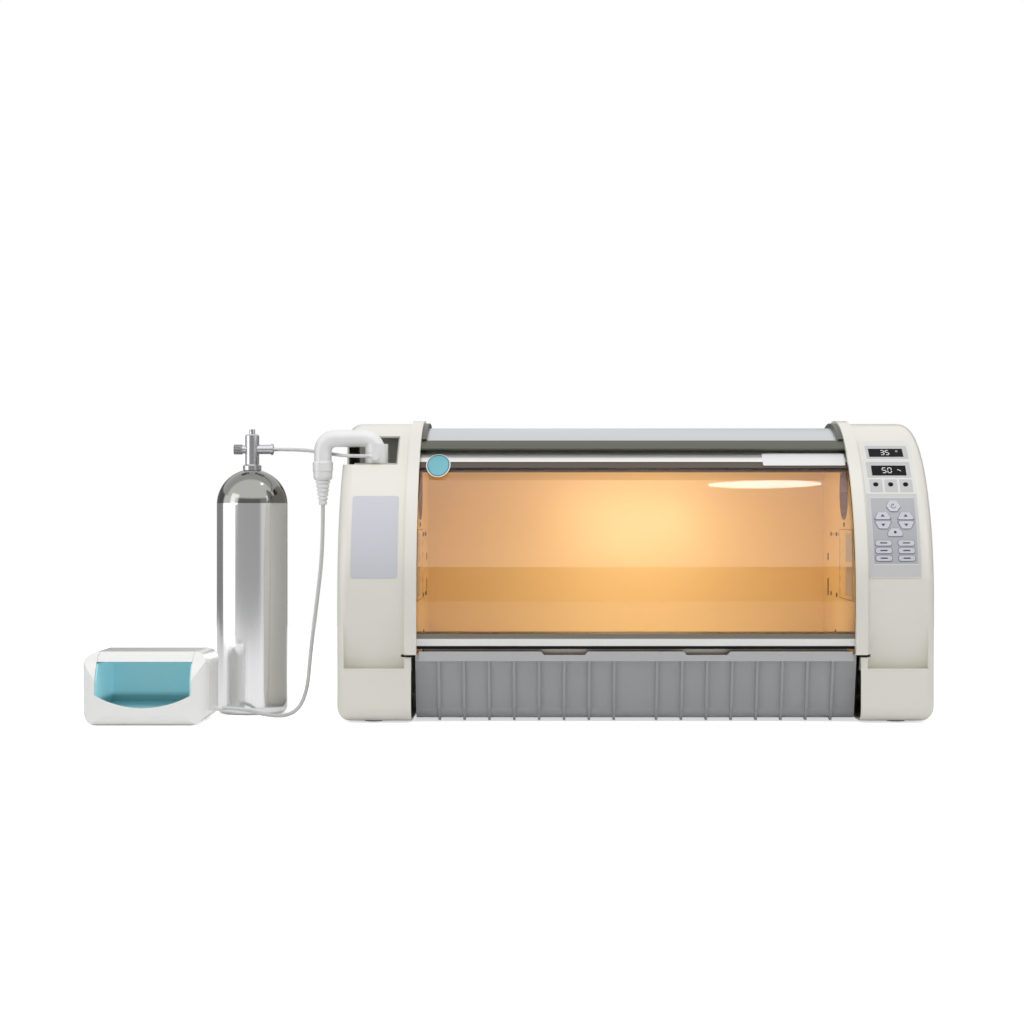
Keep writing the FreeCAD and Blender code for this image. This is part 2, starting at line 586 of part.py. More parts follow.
DISPLAYS = {"temperature_display": "display_one", "humidity_display": "display_two"}
screens = {}
for label, angle in DISPLAYS.items():
    screen = flat_block(label, "display_width/2", "display_high/2", "-wall", "panel_thick + display_proud")
    screens[label] = keep(on_face(screen, "display_x", angle))

overlay = new_body("overlay_sheet")
pad(overlay, "YZ", "panel_left", "panel_right - panel_left",
    sector(f"{FACE} + film_gap", f"{FACE} + panel_thick", "panel_low", "panel_high"))
pocket(overlay, "YZ", "keypad_left", "keypad_right - keypad_left",
       sector(f"{FACE} - 2", f"{FACE} + 3", "keypad_low", "keypad_high"))
stand(overlay)

lamps = new_body("status_lamps")
pad(lamps, "XY", "-wall + 0.5", "wall - 0.7", block("-lamp_pitch - 5", "lamp_pitch + 5", "-4", "4"))
for k in (-1, 0, 1):
    pad(lamps, "XY", "-wall/2", "wall/2 + panel_thick + display_proud", ring(f"{k}*lamp_pitch", "0",
                                                                             "lamp_radius"))
keep(on_face(lamps, PANEL_MID, "lamp_angle"))
keep(cut("control_overlay", overlay, *screens.values(), lamps))

# Key outlines, seen from outside, as half widths and heights about each key's middle
CAP = [line_to("-confirm_wide/2", "-confirm_high/2"), line_to("confirm_wide/2", "-confirm_high/2"),
       line_to("confirm_wide/2", "0"), line_to("confirm_wide/4", "confirm_high/2"),
       line_to("-confirm_wide/4", "confirm_high/2"), line_to("-confirm_wide/2", "0")]
PILL = block("-pill_wide/2", "pill_wide/2", "-pill_high/2", "pill_high/2")
HALF_UP = [line_to("-hex_wide/2", "-hex_half/2"), line_to("hex_wide/2", "-hex_half/2"),
           line_to("hex_wide/4", "hex_half/2"), line_to("-hex_wide/4", "hex_half/2")]
HALF_DOWN = [line_to("-hex_wide/4", "-hex_half/2"), line_to("hex_wide/4", "-hex_half/2"),
             line_to("hex_wide/2", "hex_half/2"), line_to("-hex_wide/2", "hex_half/2")]
SIX = [line_to("-power_wide/2", "0"), line_to("-power_wide/4", "-power_high/2"), line_to("power_wide/4",
                                                                                         "-power_high/2"),
       line_to("power_wide/2", "0"), line_to("power_wide/4", "power_high/2"), line_to("-power_wide/4",
                                                                                      "power_high/2")]
KEYS = {
    "key_power": ("power_x", "power_angle", SIX),
    "key_temperature_up": ("hex_one", "hex_angle + hex_step", HALF_UP),
    "key_temperature_down": ("hex_one", "hex_angle - hex_step", HALF_DOWN),
    "key_humidity_up": ("hex_two", "hex_angle + hex_step", HALF_UP),
    "key_humidity_down": ("hex_two", "hex_angle - hex_step", HALF_DOWN),
    "key_confirm": ("power_x", "confirm_angle", CAP),
    "key_function_one": ("pill_one", "pill_angle", PILL),
    "key_function_two": ("pill_two", "pill_angle", PILL),
    "key_function_three": ("pill_one", "pill_angle - pill_step", PILL),
    "key_function_four": ("pill_two", "pill_angle - pill_step", PILL),
    "key_function_five": ("pill_one", "pill_angle - 2*pill_step", PILL),
    "key_function_six": ("pill_two", "pill_angle - 2*pill_step", PILL),
}


def grown(loop, by):
    """An outline made larger all round by a distance from its middle."""
    def out(value):
        return f"({value})*(1 + {by}*2/hex_half)"
    return [line_to(out(x), out(y)) for x, y, _ in loop]


plate = new_body("keypad_sheet")
pad(plate, "YZ", "keypad_left", "keypad_right - keypad_left",
    sector(f"{FACE} - wall", f"{FACE} + panel_thick", "keypad_low", "keypad_high"))
stand(plate)


def key_form(label, low, high, loop, bend):
    """A key's outline with round corners, as a body of its own."""
    form = new_body(label)
    pad(form, "XY", low, high, loop)
    fillet(form, bend, lambda e: e.BoundBox.ZLength > 1 and e.BoundBox.XLength < 0.01)
    return form


holes = []
for label, (x, angle, loop) in KEYS.items():
    bend = "pill_round" if loop is PILL else "key_round"
    hole = key_form(label + "_hole", "-2*wall", "4*wall", grown(loop, "key_play"), bend)
    holes.append(on_face(hole, x, angle))
    key = key_form(label, "-wall - key_drop", "wall + key_drop + panel_thick + key_proud", loop, bend)
    pad(key, "XY", "-wall - key_drop - key_flange", "key_flange", grown(loop, "4*key_play"))
    keep(on_face(key, x, angle))
keep(cut("keypad_plate", plate, *holes))

# Circuit board behind the keys, on two strips that reach the plate
BOARD = f"({FACE} - wall - key_drop - key_flange - key_travel - 0.2)"
board = new_body("control_board")
pad(board, "YZ", "keypad_left", "keypad_right - keypad_left",
    sector(f"{BOARD} - board_thick", BOARD, "keypad_low", "keypad_high"))
for low, high in (("keypad_low", "keypad_low + 0.6"), ("keypad_high - 0.6", "keypad_high")):
    pad(board, "YZ", "keypad_left", "keypad_right - keypad_left",
        sector(f"{BOARD} - 0.1", f"{FACE} - wall", low, high))
keep(stand(board))

# Mains socket on the back of the right-hand housing
inlet = new_body("mains_inlet")
pad(inlet, "XZ", "0", "inlet_proud", block("-inlet_wide/2", "inlet_wide/2", "-inlet_high/2", "inlet_high/2"))
pocket(inlet, "XZ", "wall", "inlet_proud",
       block("-inlet_wide/2 + wall", "inlet_wide/2 - wall", "-inlet_high/2 + wall", "inlet_high/2 - wall"))
for at in ("-pin_gap", "0", "pin_gap"):
    pad(inlet, "XZ", "wall - 0.5", "inlet_proud - wall", block(f"{at} - 1", f"{at} + 1", "-3", "3"))
keep(stand(inlet, "brooder_x + inlet_x", "brooder_y + body_depth", "inlet_z"))

# Rubber feet under the housings
feet = []
for name, x, y in (("left_front", "-foot_x", "foot_y"), ("right_front", "foot_x", "foot_y"),
                   ("left_rear", "-foot_x", "body_depth - foot_y"), ("right_rear", "foot_x",
                                                                     "body_depth - foot_y")):
    foot = new_body(f"{name}_foot")
    pad(foot, "XY", "0", "floor_gap", ring("0", "0", "foot_pad_radius"))
    feet.append(stand(foot, f"brooder_x + {x}", f"brooder_y + {y}"))
keep(group("rubber_feet", feet))

# Mist line: a tee in the port recess, a bent pipe, a nebuliser cup and a ribbed boot
def bent_pipe(label, radius):
    """The pipe from the tee up and over to the cup, solid, at one radius."""
    over, left, right = "pipe_z - pipe_bend", "brooder_x + pipe_drop_x", "brooder_x + tee_x"
    parts = []
    for name, x, low, length in (("drop", left, "cup_top", f"{over} - cup_top"),
                                 ("rise", right, "port_floor + tee_seat", f"{over} - port_floor - tee_seat"),
                                 ("level", f"{left} + pipe_bend", "pipe_z",
                                  "tee_x - pipe_drop_x - 2*pipe_bend")):
        part = doc.addObject("Part::Cylinder", f"{label}_{name}")
        part.setExpression("Radius", cell(radius))
        part.setExpression("Height", cell(length))
        if name == "level":
            part.Placement.Rotation = FreeCAD.Rotation(V(0, 1, 0), 90)
        parts.append(stand(part, x, "brooder_y + tee_y", low))
    for name, x, turned in (("bend", f"{left} + pipe_bend", 90), ("return", f"{right} - pipe_bend", 0)):
        part = doc.addObject("Part::Torus", f"{label}_{name}")
        part.setExpression("Radius1", "Sizes.pipe_bend")
        part.setExpression("Radius2", cell(radius))
        part.Angle3 = 90
        part.Placement.Rotation = FreeCAD.Rotation(V(1, 0, 0), 90) * FreeCAD.Rotation(V(0, 0, 1), turned)
        parts.append(stand(part, x, "brooder_y + tee_y", over))
    whole = doc.addObject("Part::MultiFuse", label)
    whole.Shapes = parts
    return whole


tee = new_body("tee_solid")
pad(tee, "XY", "0", "tee_high", ring("0", "0", "tee_radius"))
pad(tee, "XZ", "-tee_radius - nipple_long", "nipple_long + 4", ring("0", "nipple_z - port_floor",
                                                                    "nipple_radius"))
pad(tee, "YZ", "-nipple_reach", "nipple_reach - 4",
    ring("-tee_radius - nipple_long/2", "nipple_z - port_floor", "barb_radius"))
stand(tee, "brooder_x + tee_x", "brooder_y + tee_y", "port_floor")
keep(cut("port_tee", tee, bent_pipe("pipe_seat", "pipe_radius + fit")))
keep(cut("mist_elbow", bent_pipe("pipe_outside", "pipe_radius"), bent_pipe("pipe_inside",
                                                                           "pipe_radius - pipe_wall")))

cup = new_body("nebuliser_cup")
revolve(cup, [line_to("0", "0"), line_to("cup_radius - 3", "0"), line_to("cup_radius - 1", "4"),
              line_to("cup_radius - 1", "cup_high/2 - 2"), line_to("cup_radius", "cup_high/2"),
              line_to("cup_radius", "cup_high - 2"), line_to("cup_radius - 2", "cup_high"), line_to("0",
                                                                                                    "cup_high")])
keep(stand(cup, "brooder_x + pipe_drop_x", "brooder_y + tee_y", "cup_top - cup_high"))

boot = new_body("tube_boot")
ribs = 6
loop = [line_to("0", "0"), line_to("boot_radius", "0")]
for k in range(ribs):
    grow = f"boot_radius + (cup_radius - 5 - boot_radius)*{k}/{ribs}"
    loop.append(line_to(f"{grow} + boot_rib", f"boot_high*({k} + 0.3)/{ribs}"))
    loop.append(line_to(f"{grow} + boot_rib", f"boot_high*({k} + 0.7)/{ribs}"))
    loop.append(line_to(f"{grow}", f"boot_high*({k} + 1)/{ribs}"))
loop.append(line_to("0", "boot_high"))
revolve(boot, loop)
keep(stand(boot, "brooder_x + pipe_drop_x", "brooder_y + tee_y", "cup_top - cup_high - boot_high"))

# Oxygen cylinder with its valve block, top spindle and flow knob
BOTTLE = ("bottle_x", "bottle_y")
bottle = new_body("oxygen_cylinder")


def bottle_outline(inset):
    """Half of the cylinder's section, drawn in by an inset."""
    radius, neck, low = f"bottle_radius - {inset}", f"collar_radius - 2 - {inset}", f"{inset}"
    top = f"bottle_high + sqrt(({radius})^2 - ({neck})^2)"
    return [line_to("0", low), line_to("bottle_radius - bottle_round", low),
            arc_to(radius, "bottle_round", f"bottle_round - {inset}"), line_to(radius, "bottle_high"),
            arc_to(neck, top, radius), line_to("0", top)]


revolve(bottle, bottle_outline("0"))
revolve(bottle, bottle_outline("bottle_wall"), "Groove")
keep(stand(bottle, *BOTTLE, "0"))
NECK = "bottle_high + sqrt(bottle_radius^2 - (collar_radius - 2)^2)"
valve = new_body("cylinder_valve")
revolve(valve, [line_to("0", "0"), line_to("collar_radius", "0"), line_to("collar_radius", "collar_high - 2"),
                line_to("collar_radius - 2", "collar_high"), line_to("valve_radius", "collar_high"),
                line_to("valve_radius", "valve_high - 2"), line_to("valve_radius - 2", "valve_high"),
                line_to("0", "valve_high")])
pad(valve, "YZ", "0", "arm_long", ring("0", "arm_z", "arm_radius"))
pad(valve, "YZ", "arm_long - 4", "3", ring("0", "arm_z", "arm_radius + 1.5"))
pad(valve, "YZ", "arm_long", "barb_long", ring("0", "arm_z", "barb_radius"))
pad(valve, "YZ", "-arm_seat", "arm_seat", ring("0", "arm_z", "arm_radius - 1"))
pocket(valve, "YZ", "-arm_seat - 1", "pin_deep + 1", ring("0", "arm_z", "pin_radius + run_fit"))
pocket(valve, "XY", "valve_high - pin_deep", "pin_deep + 1", ring("0", "0", "pin_radius + run_fit"))
keep(stand(valve, *BOTTLE, NECK))
spindle = new_body("valve_spindle")
pad(spindle, "XY", "0", "stem_high", ring("0", "0", "stem_radius"))
pad(spindle, "XY", "-pin_deep + 0.5", "pin_deep", ring("0", "0", "pin_radius"))
pad(spindle, "XY", "stem_high - 3", "2", block("-1.5", "1.5", "-stem_radius - 3", "0"))
keep(stand(spindle, *BOTTLE, f"{NECK} + valve_high"))
knob = new_body("flow_knob")
pad(knob, "YZ", "-knob_long", "knob_long", ring("0", "0", "arm_radius + 0.5"))
pad(knob, "YZ", "-0.5", "pin_deep", ring("0", "0", "pin_radius"))
flute = pocket(knob, "YZ", "-knob_long - 1", "knob_long - 2", ring("0", "arm_radius + 1.2", "1.6"))
flutes = knob.newObject("PartDesign::PolarPattern", "Flutes")
flutes.Originals = [flute]
flutes.Axis = (knob.Origin.OriginFeatures[0], [""])
flutes.Angle = 360
flutes.Occurrences = 10
knob.Tip = flutes
keep(stand(knob, "bottle_x - arm_seat", "bottle_y", f"{NECK} + arm_z"))

# Nebuliser compressor: a rounded case with a bay in its front, a tray in the bay and a hinged lid over it
UNIT = ("unit_x", "unit_depth/2 - set_depth/2")
FRONT, BACK = "-unit_depth/2", "unit_depth/2"


def common(label, pieces):
    """What several pieces share, as a part of its own."""
    shared = doc.addObject("Part::MultiCommon", label)
    shared.Shapes = pieces
    shared.Label = label
    return shared


def rounded(x0, x1, y0, y1, low_round, top_round):
    """A rectangle with its two lower and its two upper corners rounded."""
    return [line_to(f"({x0}) + {low_round}", y0), line_to(f"({x1}) - {low_round}", y0),
            arc_to(x1, f"({y0}) + {low_round}", low_round), line_to(x1, f"({y1}) - {top_round}"),
            arc_to(f"({x1}) - {top_round}", y1, top_round), line_to(f"({x0}) + {top_round}", y1),
            arc_to(x0, f"({y1}) - {top_round}", top_round), line_to(x0, f"({y0}) + {low_round}")]


def closed(loop):
    """The loop with its first corner reached by the arc that closes it."""
    x, y, _ = loop[0]
    return [arc_to(x, y, loop[2][2][0])] + loop[1:]


def case_form(label, inset):
    """The case's outer form drawn in by an inset: what its side, plan and front outlines share."""
    wide, back, top = f"unit_width/2 - {inset}", f"{BACK} - {inset}", f"unit_high - {inset}"
    front, low, hood = f"{FRONT} + {inset}", inset, f"(unit_hood - {inset})"
    heel, nape = f"(unit_heel - {inset})", f"(unit_nape - {inset})"
    side = new_body(label + "_side")
    pad(side, "YZ", f"-({wide})", f"2*({wide})",
        [arc_to(f"{front} + {heel}", low, heel), line_to(f"{back} - {heel}", low),
         arc_to(back, f"{low} + {heel}", heel), line_to(back, f"{top} - {nape}"),
         arc_to(f"{back} - {nape}", top, nape), line_to(f"{front} + {hood}", top),
         arc_to(front, f"{top} - {hood}", hood), line_to(front, f"{low} + {heel}")])
    plan = new_body(label + "_plan")
    turn = f"(unit_round - {inset})"
    pad(plan, "XY", low, f"{top} - {low}", closed(rounded(f"-({wide})", wide, front, back, turn, turn)))
    face = new_body(label + "_face")
    pad(face, "XZ", front, f"({back}) - ({front})",
        closed(rounded(f"-({wide})", wide, low, top, f"(unit_foot - {inset})", f"(unit_brow - {inset})")))
    return common(label, [side, plan, face])


def bay_outline(inset):
    """The bay from the front: upright sides and a lip that dips in the middle."""
    wide, lip = f"bay_half - {inset}", f"lip_side + {inset}"
    return [line_to(f"-({wide})", "unit_high + 5"), line_to(f"-({wide})", lip),
            arc_to(wide, lip, "lip_radius"), line_to(wide, "unit_high + 5")]


bay = new_body("bay_opening")
pad(bay, "XZ", f"{FRONT} - 1", "bay_back - unit_front + 1", bay_outline("0"))
bosses = new_body("hinge_bosses")
for start in ("bay_half", "-bay_half - boss_long"):
    pad(bosses, "YZ", start, "boss_long", ring("hinge_y", "hinge_z", "boss_radius"))
barb = new_body("case_barb")
pad(barb, "YZ", "unit_width/2 - wall - 1", "wall + 1 + barb_out", ring("barb_y", "barb_z", "air_radius + 1"))
shell_open = cut("case_open", case_form("case_outside", "0"), case_form("case_inside", "wall"), bay)
fused = doc.addObject("Part::MultiFuse", "case_whole")
fused.Shapes = [shell_open, bosses, barb]
bores = new_body("hinge_bores")
pad(bores, "YZ", "-bay_half - pin_reach - fit", "2*(bay_half + pin_reach + fit)",
    ring("hinge_y", "hinge_z", "hinge_pin + run_fit"))
keep(stand(cut("compressor_case", fused, bores), *UNIT, "0"))

lid = new_body("compressor_lid")
LID = "bay_half - lid_gap"
ARC = FRONT + " + unit_hood - sqrt(({})^2 - (lid_low - unit_high + unit_hood)^2)"
pad(lid, "YZ", f"-({LID})", f"2*({LID})",
    [line_to("hinge_y", "unit_high"), line_to(f"{FRONT} + unit_hood", "unit_high"),
     arc_to(ARC.format("unit_hood"), "lid_low", "unit_hood"), line_to(ARC.format("unit_hood - wall"),
                                                                      "lid_low"),
     arc_to(f"{FRONT} + unit_hood", "unit_high - wall", "unit_hood - wall", -1), line_to("hinge_y",
                                                                                         "unit_high - wall")])
pad(lid, "YZ", f"-({LID})", f"2*({LID})", ring("hinge_y", "hinge_z", "unit_high - hinge_z"))
pad(lid, "YZ", "-bay_half - pin_reach", "2*(bay_half + pin_reach)", ring("hinge_y", "hinge_z", "hinge_pin"))
keep(stand(lid, *UNIT, "0"))

tray_block = new_body("tray_block")
TRAY = "bay_half - fit"
pad(tray_block, "YZ", f"-({TRAY})", f"2*({TRAY})",
    block(FRONT, "tray_back", "bay_floor - tray_wall", "bay_top"))
pocket(tray_block, "YZ", f"tray_wall - ({TRAY})", f"2*({TRAY} - tray_wall)",
       block(f"{FRONT} - 1", "tray_back - tray_wall", "bay_floor", "bay_top + 1"))
keep(stand(common("compressor_tray", [tray_block, case_form("tray_limit", "(wall + fit)")]), *UNIT, "0"))

# Hoses: straight runs joined by tangent arcs, along routes chosen by hand


def hose(label, points, bore):
    """A solid hose through the points; each corner's arc takes 0.45 of its shorter run."""
    points = [V(*p) for p in points]
    edges, here, radii = [], points[0], []
    for before, corner, after in zip(points, points[1:], points[2:]):
        back, ahead = (before - corner), (after - corner)
        half_turn = (math.pi - back.getAngle(ahead)) / 2
        reach = 0.45 * min(back.Length, ahead.Length)
        radius = reach / math.tan(half_turn)
        back, ahead = back.normalize(), ahead.normalize()
        start, end = corner + back * reach, corner + ahead * reach
        middle = corner + (back + ahead).normalize() * (radius / math.cos(half_turn) - radius)
        edges.append(Part.makeLine(here, start))
        edges.append(Part.Arc(start, middle, end).toShape())
        here = end
        radii.append(round(radius))
    edges.append(Part.makeLine(here, points[-1]))
    route = doc.addObject("Part::Feature", label + "_route")
    route.Shape = Part.Wire(edges)
    section = doc.addObject("Part::Circle", label + "_section")
    section.setExpression("Radius", cell(bore))
    section.Placement = FreeCAD.Placement(points[0], FreeCAD.Rotation(V(0, 0, 1), points[1] - points[0]))
    tube = doc.addObject("Part::Sweep", label)
    tube.Sections, tube.Spine, tube.Solid, tube.Frenet = [section], route, True, False
    doc.recompute()
    wanted = math.pi * size(bore) ** 2 * route.Shape.Length
    ratio = tube.Shape.Volume / wanted
    print(f"{label}: length {route.Shape.Length:.1f} mm, arc radii {radii}, volume ratio {ratio:.4f}")
    return keep(tube)


hose("oxygen_hose", [(-373, -27.5, 419.6), (-335, -27.5, 419.6), (-300, -60, 414), (-276, -98.5, 410),
                     (-254, -127.5, 406.8), (-220, -127.5, 406.8)], "hose_radius")
hose("air_tube", [(-294, -105.5, 331), (-294, -105.5, 262), (-303, -106, 182), (-313, -107, 104), (-318,
                                                                                                   -109, 38),
                  (-338, -113, 3.5), (-380, -118, 3.2), (-415, -130, 16), (-447, -130, 16)], "air_radius")

# Every object's state and every node's shape are checked before the files are written
doc.recompute()
faulty = [o.Name for o in doc.Objects if {"Invalid", "Error"} & set(o.State)]
faulty += [k.Label for k in KEPT if k.Shape.isNull() or not k.Shape.isValid() or k.Shape.Volume <= 0]
if faulty:
    raise RuntimeError(f"faulty objects: {faulty}")
os.makedirs(OUT, exist_ok=True)
for piece in KEPT:
    piece.Shape.exportStep(f"{OUT}/{piece.Label}.step")
print(f"{len(KEPT)} nodes written")
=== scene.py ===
import math

import bmesh
import bpy
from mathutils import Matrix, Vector


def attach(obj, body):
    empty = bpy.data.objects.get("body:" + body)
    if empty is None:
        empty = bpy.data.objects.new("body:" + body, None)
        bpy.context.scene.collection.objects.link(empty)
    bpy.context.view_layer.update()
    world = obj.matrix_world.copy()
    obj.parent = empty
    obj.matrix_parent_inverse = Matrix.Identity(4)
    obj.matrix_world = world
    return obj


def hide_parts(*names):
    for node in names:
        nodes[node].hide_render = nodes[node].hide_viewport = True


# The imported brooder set, in metres: X to the right, Y to the back and Z up from the table.
# Its solids stay where they are, and get finishes, thin plates, marks and smooth hoses.
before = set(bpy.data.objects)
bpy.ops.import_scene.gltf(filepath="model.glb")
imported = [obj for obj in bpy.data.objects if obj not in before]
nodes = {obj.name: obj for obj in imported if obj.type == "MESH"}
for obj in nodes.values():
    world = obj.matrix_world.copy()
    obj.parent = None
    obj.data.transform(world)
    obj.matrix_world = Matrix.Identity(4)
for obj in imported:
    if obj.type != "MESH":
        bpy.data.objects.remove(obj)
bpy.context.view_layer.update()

# Two glossy cream end housings carry the roof, the door's tracks and the controls.
# Each is injection moulded in one shell, with a faint orange peel that only the highlights show.
CREAM = (0.80, 0.785, 0.715)
CREAM_SHADE = (0.76, 0.745, 0.675)


def ramp(tree, value, low, high, start=0.0, end=1.0):
    """A value that goes from start to end while another goes from low to high."""
    step = tree.nodes.new("ShaderNodeMapRange")
    step.inputs["From Min"].default_value = low
    step.inputs["From Max"].default_value = high
    step.inputs["To Min"].default_value = start
    step.inputs["To Max"].default_value = end
    tree.links.new(value, step.inputs["Value"])
    return step.outputs["Result"]


def moulded(name, colour, shade, roughness, grain=900.0, depth=0.00004, coat=0.0, metallic=0.0):
    """A moulded or painted finish: fine grain in the bump, slow drift in the colour and gloss."""
    material = bpy.data.materials.new(name)
    material.use_nodes = True
    tree = material.node_tree
    shader = tree.nodes["Principled BSDF"]
    place = tree.nodes.new("ShaderNodeTexCoord")
    drift = tree.nodes.new("ShaderNodeTexNoise")
    drift.inputs["Scale"].default_value = 9.0
    drift.inputs["Detail"].default_value = 3.0
    blend = tree.nodes.new("ShaderNodeMix")
    blend.data_type = "RGBA"
    blend.inputs[6].default_value = (*colour, 1.0)
    blend.inputs[7].default_value = (*shade, 1.0)
    skin = tree.nodes.new("ShaderNodeTexNoise")
    skin.inputs["Scale"].default_value = grain
    skin.inputs["Detail"].default_value = 2.0
    bump = tree.nodes.new("ShaderNodeBump")
    bump.inputs["Strength"].default_value = 0.35
    bump.inputs["Distance"].default_value = depth
    gloss = ramp(tree, drift.outputs["Fac"], 0.0, 1.0, roughness * 0.85, roughness * 1.2)
    tree.links.new(place.outputs["Object"], drift.inputs["Vector"])
    tree.links.new(place.outputs["Object"], skin.inputs["Vector"])
    tree.links.new(drift.outputs["Fac"], blend.inputs[0])
    tree.links.new(blend.outputs[2], shader.inputs["Base Color"])
    tree.links.new(gloss, shader.inputs["Roughness"])
    tree.links.new(skin.outputs["Fac"], bump.inputs["Height"])
    tree.links.new(bump.outputs["Normal"], shader.inputs["Normal"])
    shader.inputs["Metallic"].default_value = metallic
    shader.inputs["Coat Weight"].default_value = coat
    return material


def dress(material, *names):
    """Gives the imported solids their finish."""
    for name in names:
        mesh = nodes[name].data
        mesh.materials.clear()
        mesh.materials.append(material)


cream_housing = moulded("cream_housing", CREAM, CREAM_SHADE, 0.30, grain=420.0, depth=0.00001, coat=0.25)
dress(cream_housing, "left_housing", "right_housing")

# The notice plate is a thin bare film that is stuck on the left housing's round front. Such plates
# are drawn flat, in millimetres across from the cabinet's middle and up from the height of the
# round front's axis, then raised and bent to what carries them.
MIDDLE_X = 0.190
AXIS_Y = 0.0525
AXIS_Z = 0.189
HOUSING_RADIUS = 274.0
BEND_STEP = 6
NOTICE_FILM = (0.0, 0.7)


def round_face(radius):
    """Places a plate on a round face; up is measured along it from the axis's height."""
    return lambda across, up, out: (MIDDLE_X + across / 1000,
                                    AXIS_Y - (radius + out) * math.cos(up / radius) / 1000,
                                    AXIS_Z + (radius + out) * math.sin(up / radius) / 1000)


def soft_corners(points, radius, steps=5):
    """The outline with each corner cut back by a radius and rounded."""
    smooth = []
    for before, corner, after in zip(points[-1:] + points[:-1], points, points[1:] + points[:1]):
        corner = Vector(corner)
        start = corner + (Vector(before) - corner).normalized() * radius
        end = corner + (Vector(after) - corner).normalized() * radius
        for k in range(steps + 1):
            t = k / steps
            smooth.append(start * (1 - t) ** 2 + corner * 2 * t * (1 - t) + end * t ** 2)
    return smooth


def oblong(left, right, low, high, radius):
    """An upright four-sided outline with rounded corners."""
    return soft_corners([(left, low), (right, low), (right, high), (left, high)], radius)


def plate(name, faces, place, heights, material, body):
    """A thin plate between two heights over its carrier: outlines, cut across so that they bend."""
    low, high = heights
    mesh = bpy.data.meshes.new(name)
    shape = bmesh.new()
    for face in faces:
        shape.faces.new([shape.verts.new((*point, 0.0)) for point in face])
    bmesh.ops.remove_doubles(shape, verts=shape.verts, dist=0.001)
    rows = [vert.co.y for vert in shape.verts]
    for cut in range(int(min(rows) // BEND_STEP) + 1, int(max(rows) // BEND_STEP) + 1):
        bmesh.ops.bisect_plane(shape, geom=shape.verts[:] + shape.edges[:] + shape.faces[:],
                               plane_co=(0, cut * BEND_STEP, 0), plane_no=(0, 1, 0))
    raised = bmesh.ops.extrude_face_region(shape, geom=shape.faces[:])["geom"]
    for vert in [item for item in raised if isinstance(item, bmesh.types.BMVert)]:
        vert.co.z = high - low
    for vert in shape.verts:
        vert.co = place(vert.co.x, vert.co.y, vert.co.z + low)
    bmesh.ops.recalc_face_normals(shape, faces=shape.faces)
    shape.to_mesh(mesh)
    shape.free()
    mesh.materials.append(material)
    piece = bpy.data.objects.new(name, mesh)
    bpy.context.scene.collection.objects.link(piece)
    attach(piece, body)


notice_film = moulded("notice_film", (0.60, 0.60, 0.655), (0.575, 0.575, 0.63), 0.38)
plate("notice_plate", [oblong(-431.5, -361.0, 31.0, 165.0, 5.0)], round_face(HOUSING_RADIUS),
      NOTICE_FILM, notice_film, "brooder")

# The base pan is a grey moulding with upright ribs and a lip that the door closes on; the lip's paler
# grey is painted light.
# Its texture is a little rougher than the housings'.
BASE_GREY = (0.37, 0.378, 0.388)
BASE_SHADE = (0.35, 0.357, 0.367)
LIP_PAINTED_LIGHT = (0.48, 0.485, 0.495)
LIP_BOTTOM = 0.0935


def above(tree, bottom, top, end=1.0):
    """A value that goes from 0 to its end between two heights of the object, in metres."""
    height = tree.nodes.new("ShaderNodeSeparateXYZ")
    tree.links.new(tree.nodes["Texture Coordinate"].outputs["Object"], height.inputs[0])
    return ramp(tree, height.outputs["Z"], bottom, top, end=end)


def paint_above(material, bottom, colour):
    """Gives what lies over a height another colour, with an edge one millimetre wide."""
    tree = material.node_tree
    two_tone = tree.nodes.new("ShaderNodeMix")
    two_tone.data_type = "RGBA"
    two_tone.inputs[7].default_value = (*colour, 1.0)
    tree.links.new(above(tree, bottom, bottom + 0.001), two_tone.inputs[0])
    tree.links.new(tree.nodes["Mix"].outputs[2], two_tone.inputs[6])
    tree.links.new(two_tone.outputs[2], tree.nodes["Principled BSDF"].inputs["Base Color"])


grey_base = moulded("grey_base", BASE_GREY, BASE_SHADE, 0.42)
# Painted light: the lip is painted a paler grey than the rest of the moulding.
paint_above(grey_base, LIP_BOTTOM, LIP_PAINTED_LIGHT)
dress(grey_base, "base_pan")

# The roof is a rolled aluminium sheet, brushed along its length, with a painted cover behind it.
# A dark extruded bar closes its front edge, and a ribbed trim covers each end.
ROOF_SILVER = (0.66, 0.67, 0.70)
ROOF_LINES = (0.57, 0.58, 0.61)
BAR_GREEN = (0.155, 0.160, 0.125)
BAR_LINES = (0.12, 0.12, 0.10)


def brushed(name, colour, lines, roughness, stretch=(2.0, 900.0, 900.0)):
    """Metal brushed along one axis: stretched noise drives its colour, gloss and bump."""
    material = moulded(name, colour, lines, roughness, metallic=1.0)
    tree = material.node_tree
    turn = tree.nodes.new("ShaderNodeMapping")
    turn.inputs["Scale"].default_value = stretch
    tree.links.new(tree.nodes["Texture Coordinate"].outputs["Object"], turn.inputs["Vector"])
    for noise in [node for node in tree.nodes if node.type == "TEX_NOISE"]:
        noise.inputs["Scale"].default_value = 1.0
        tree.links.new(turn.outputs["Vector"], noise.inputs["Vector"])
    return material


dress(brushed("rolled_roof", ROOF_SILVER, ROOF_LINES, 0.33), "roof_panel")
dress(moulded("painted_cover", (0.62, 0.62, 0.64), (0.58, 0.58, 0.60), 0.4), "rear_cover")
dress(brushed("bar_extrusion", BAR_GREEN, BAR_LINES, 0.42), "roof_front_bar", "roof_trims")
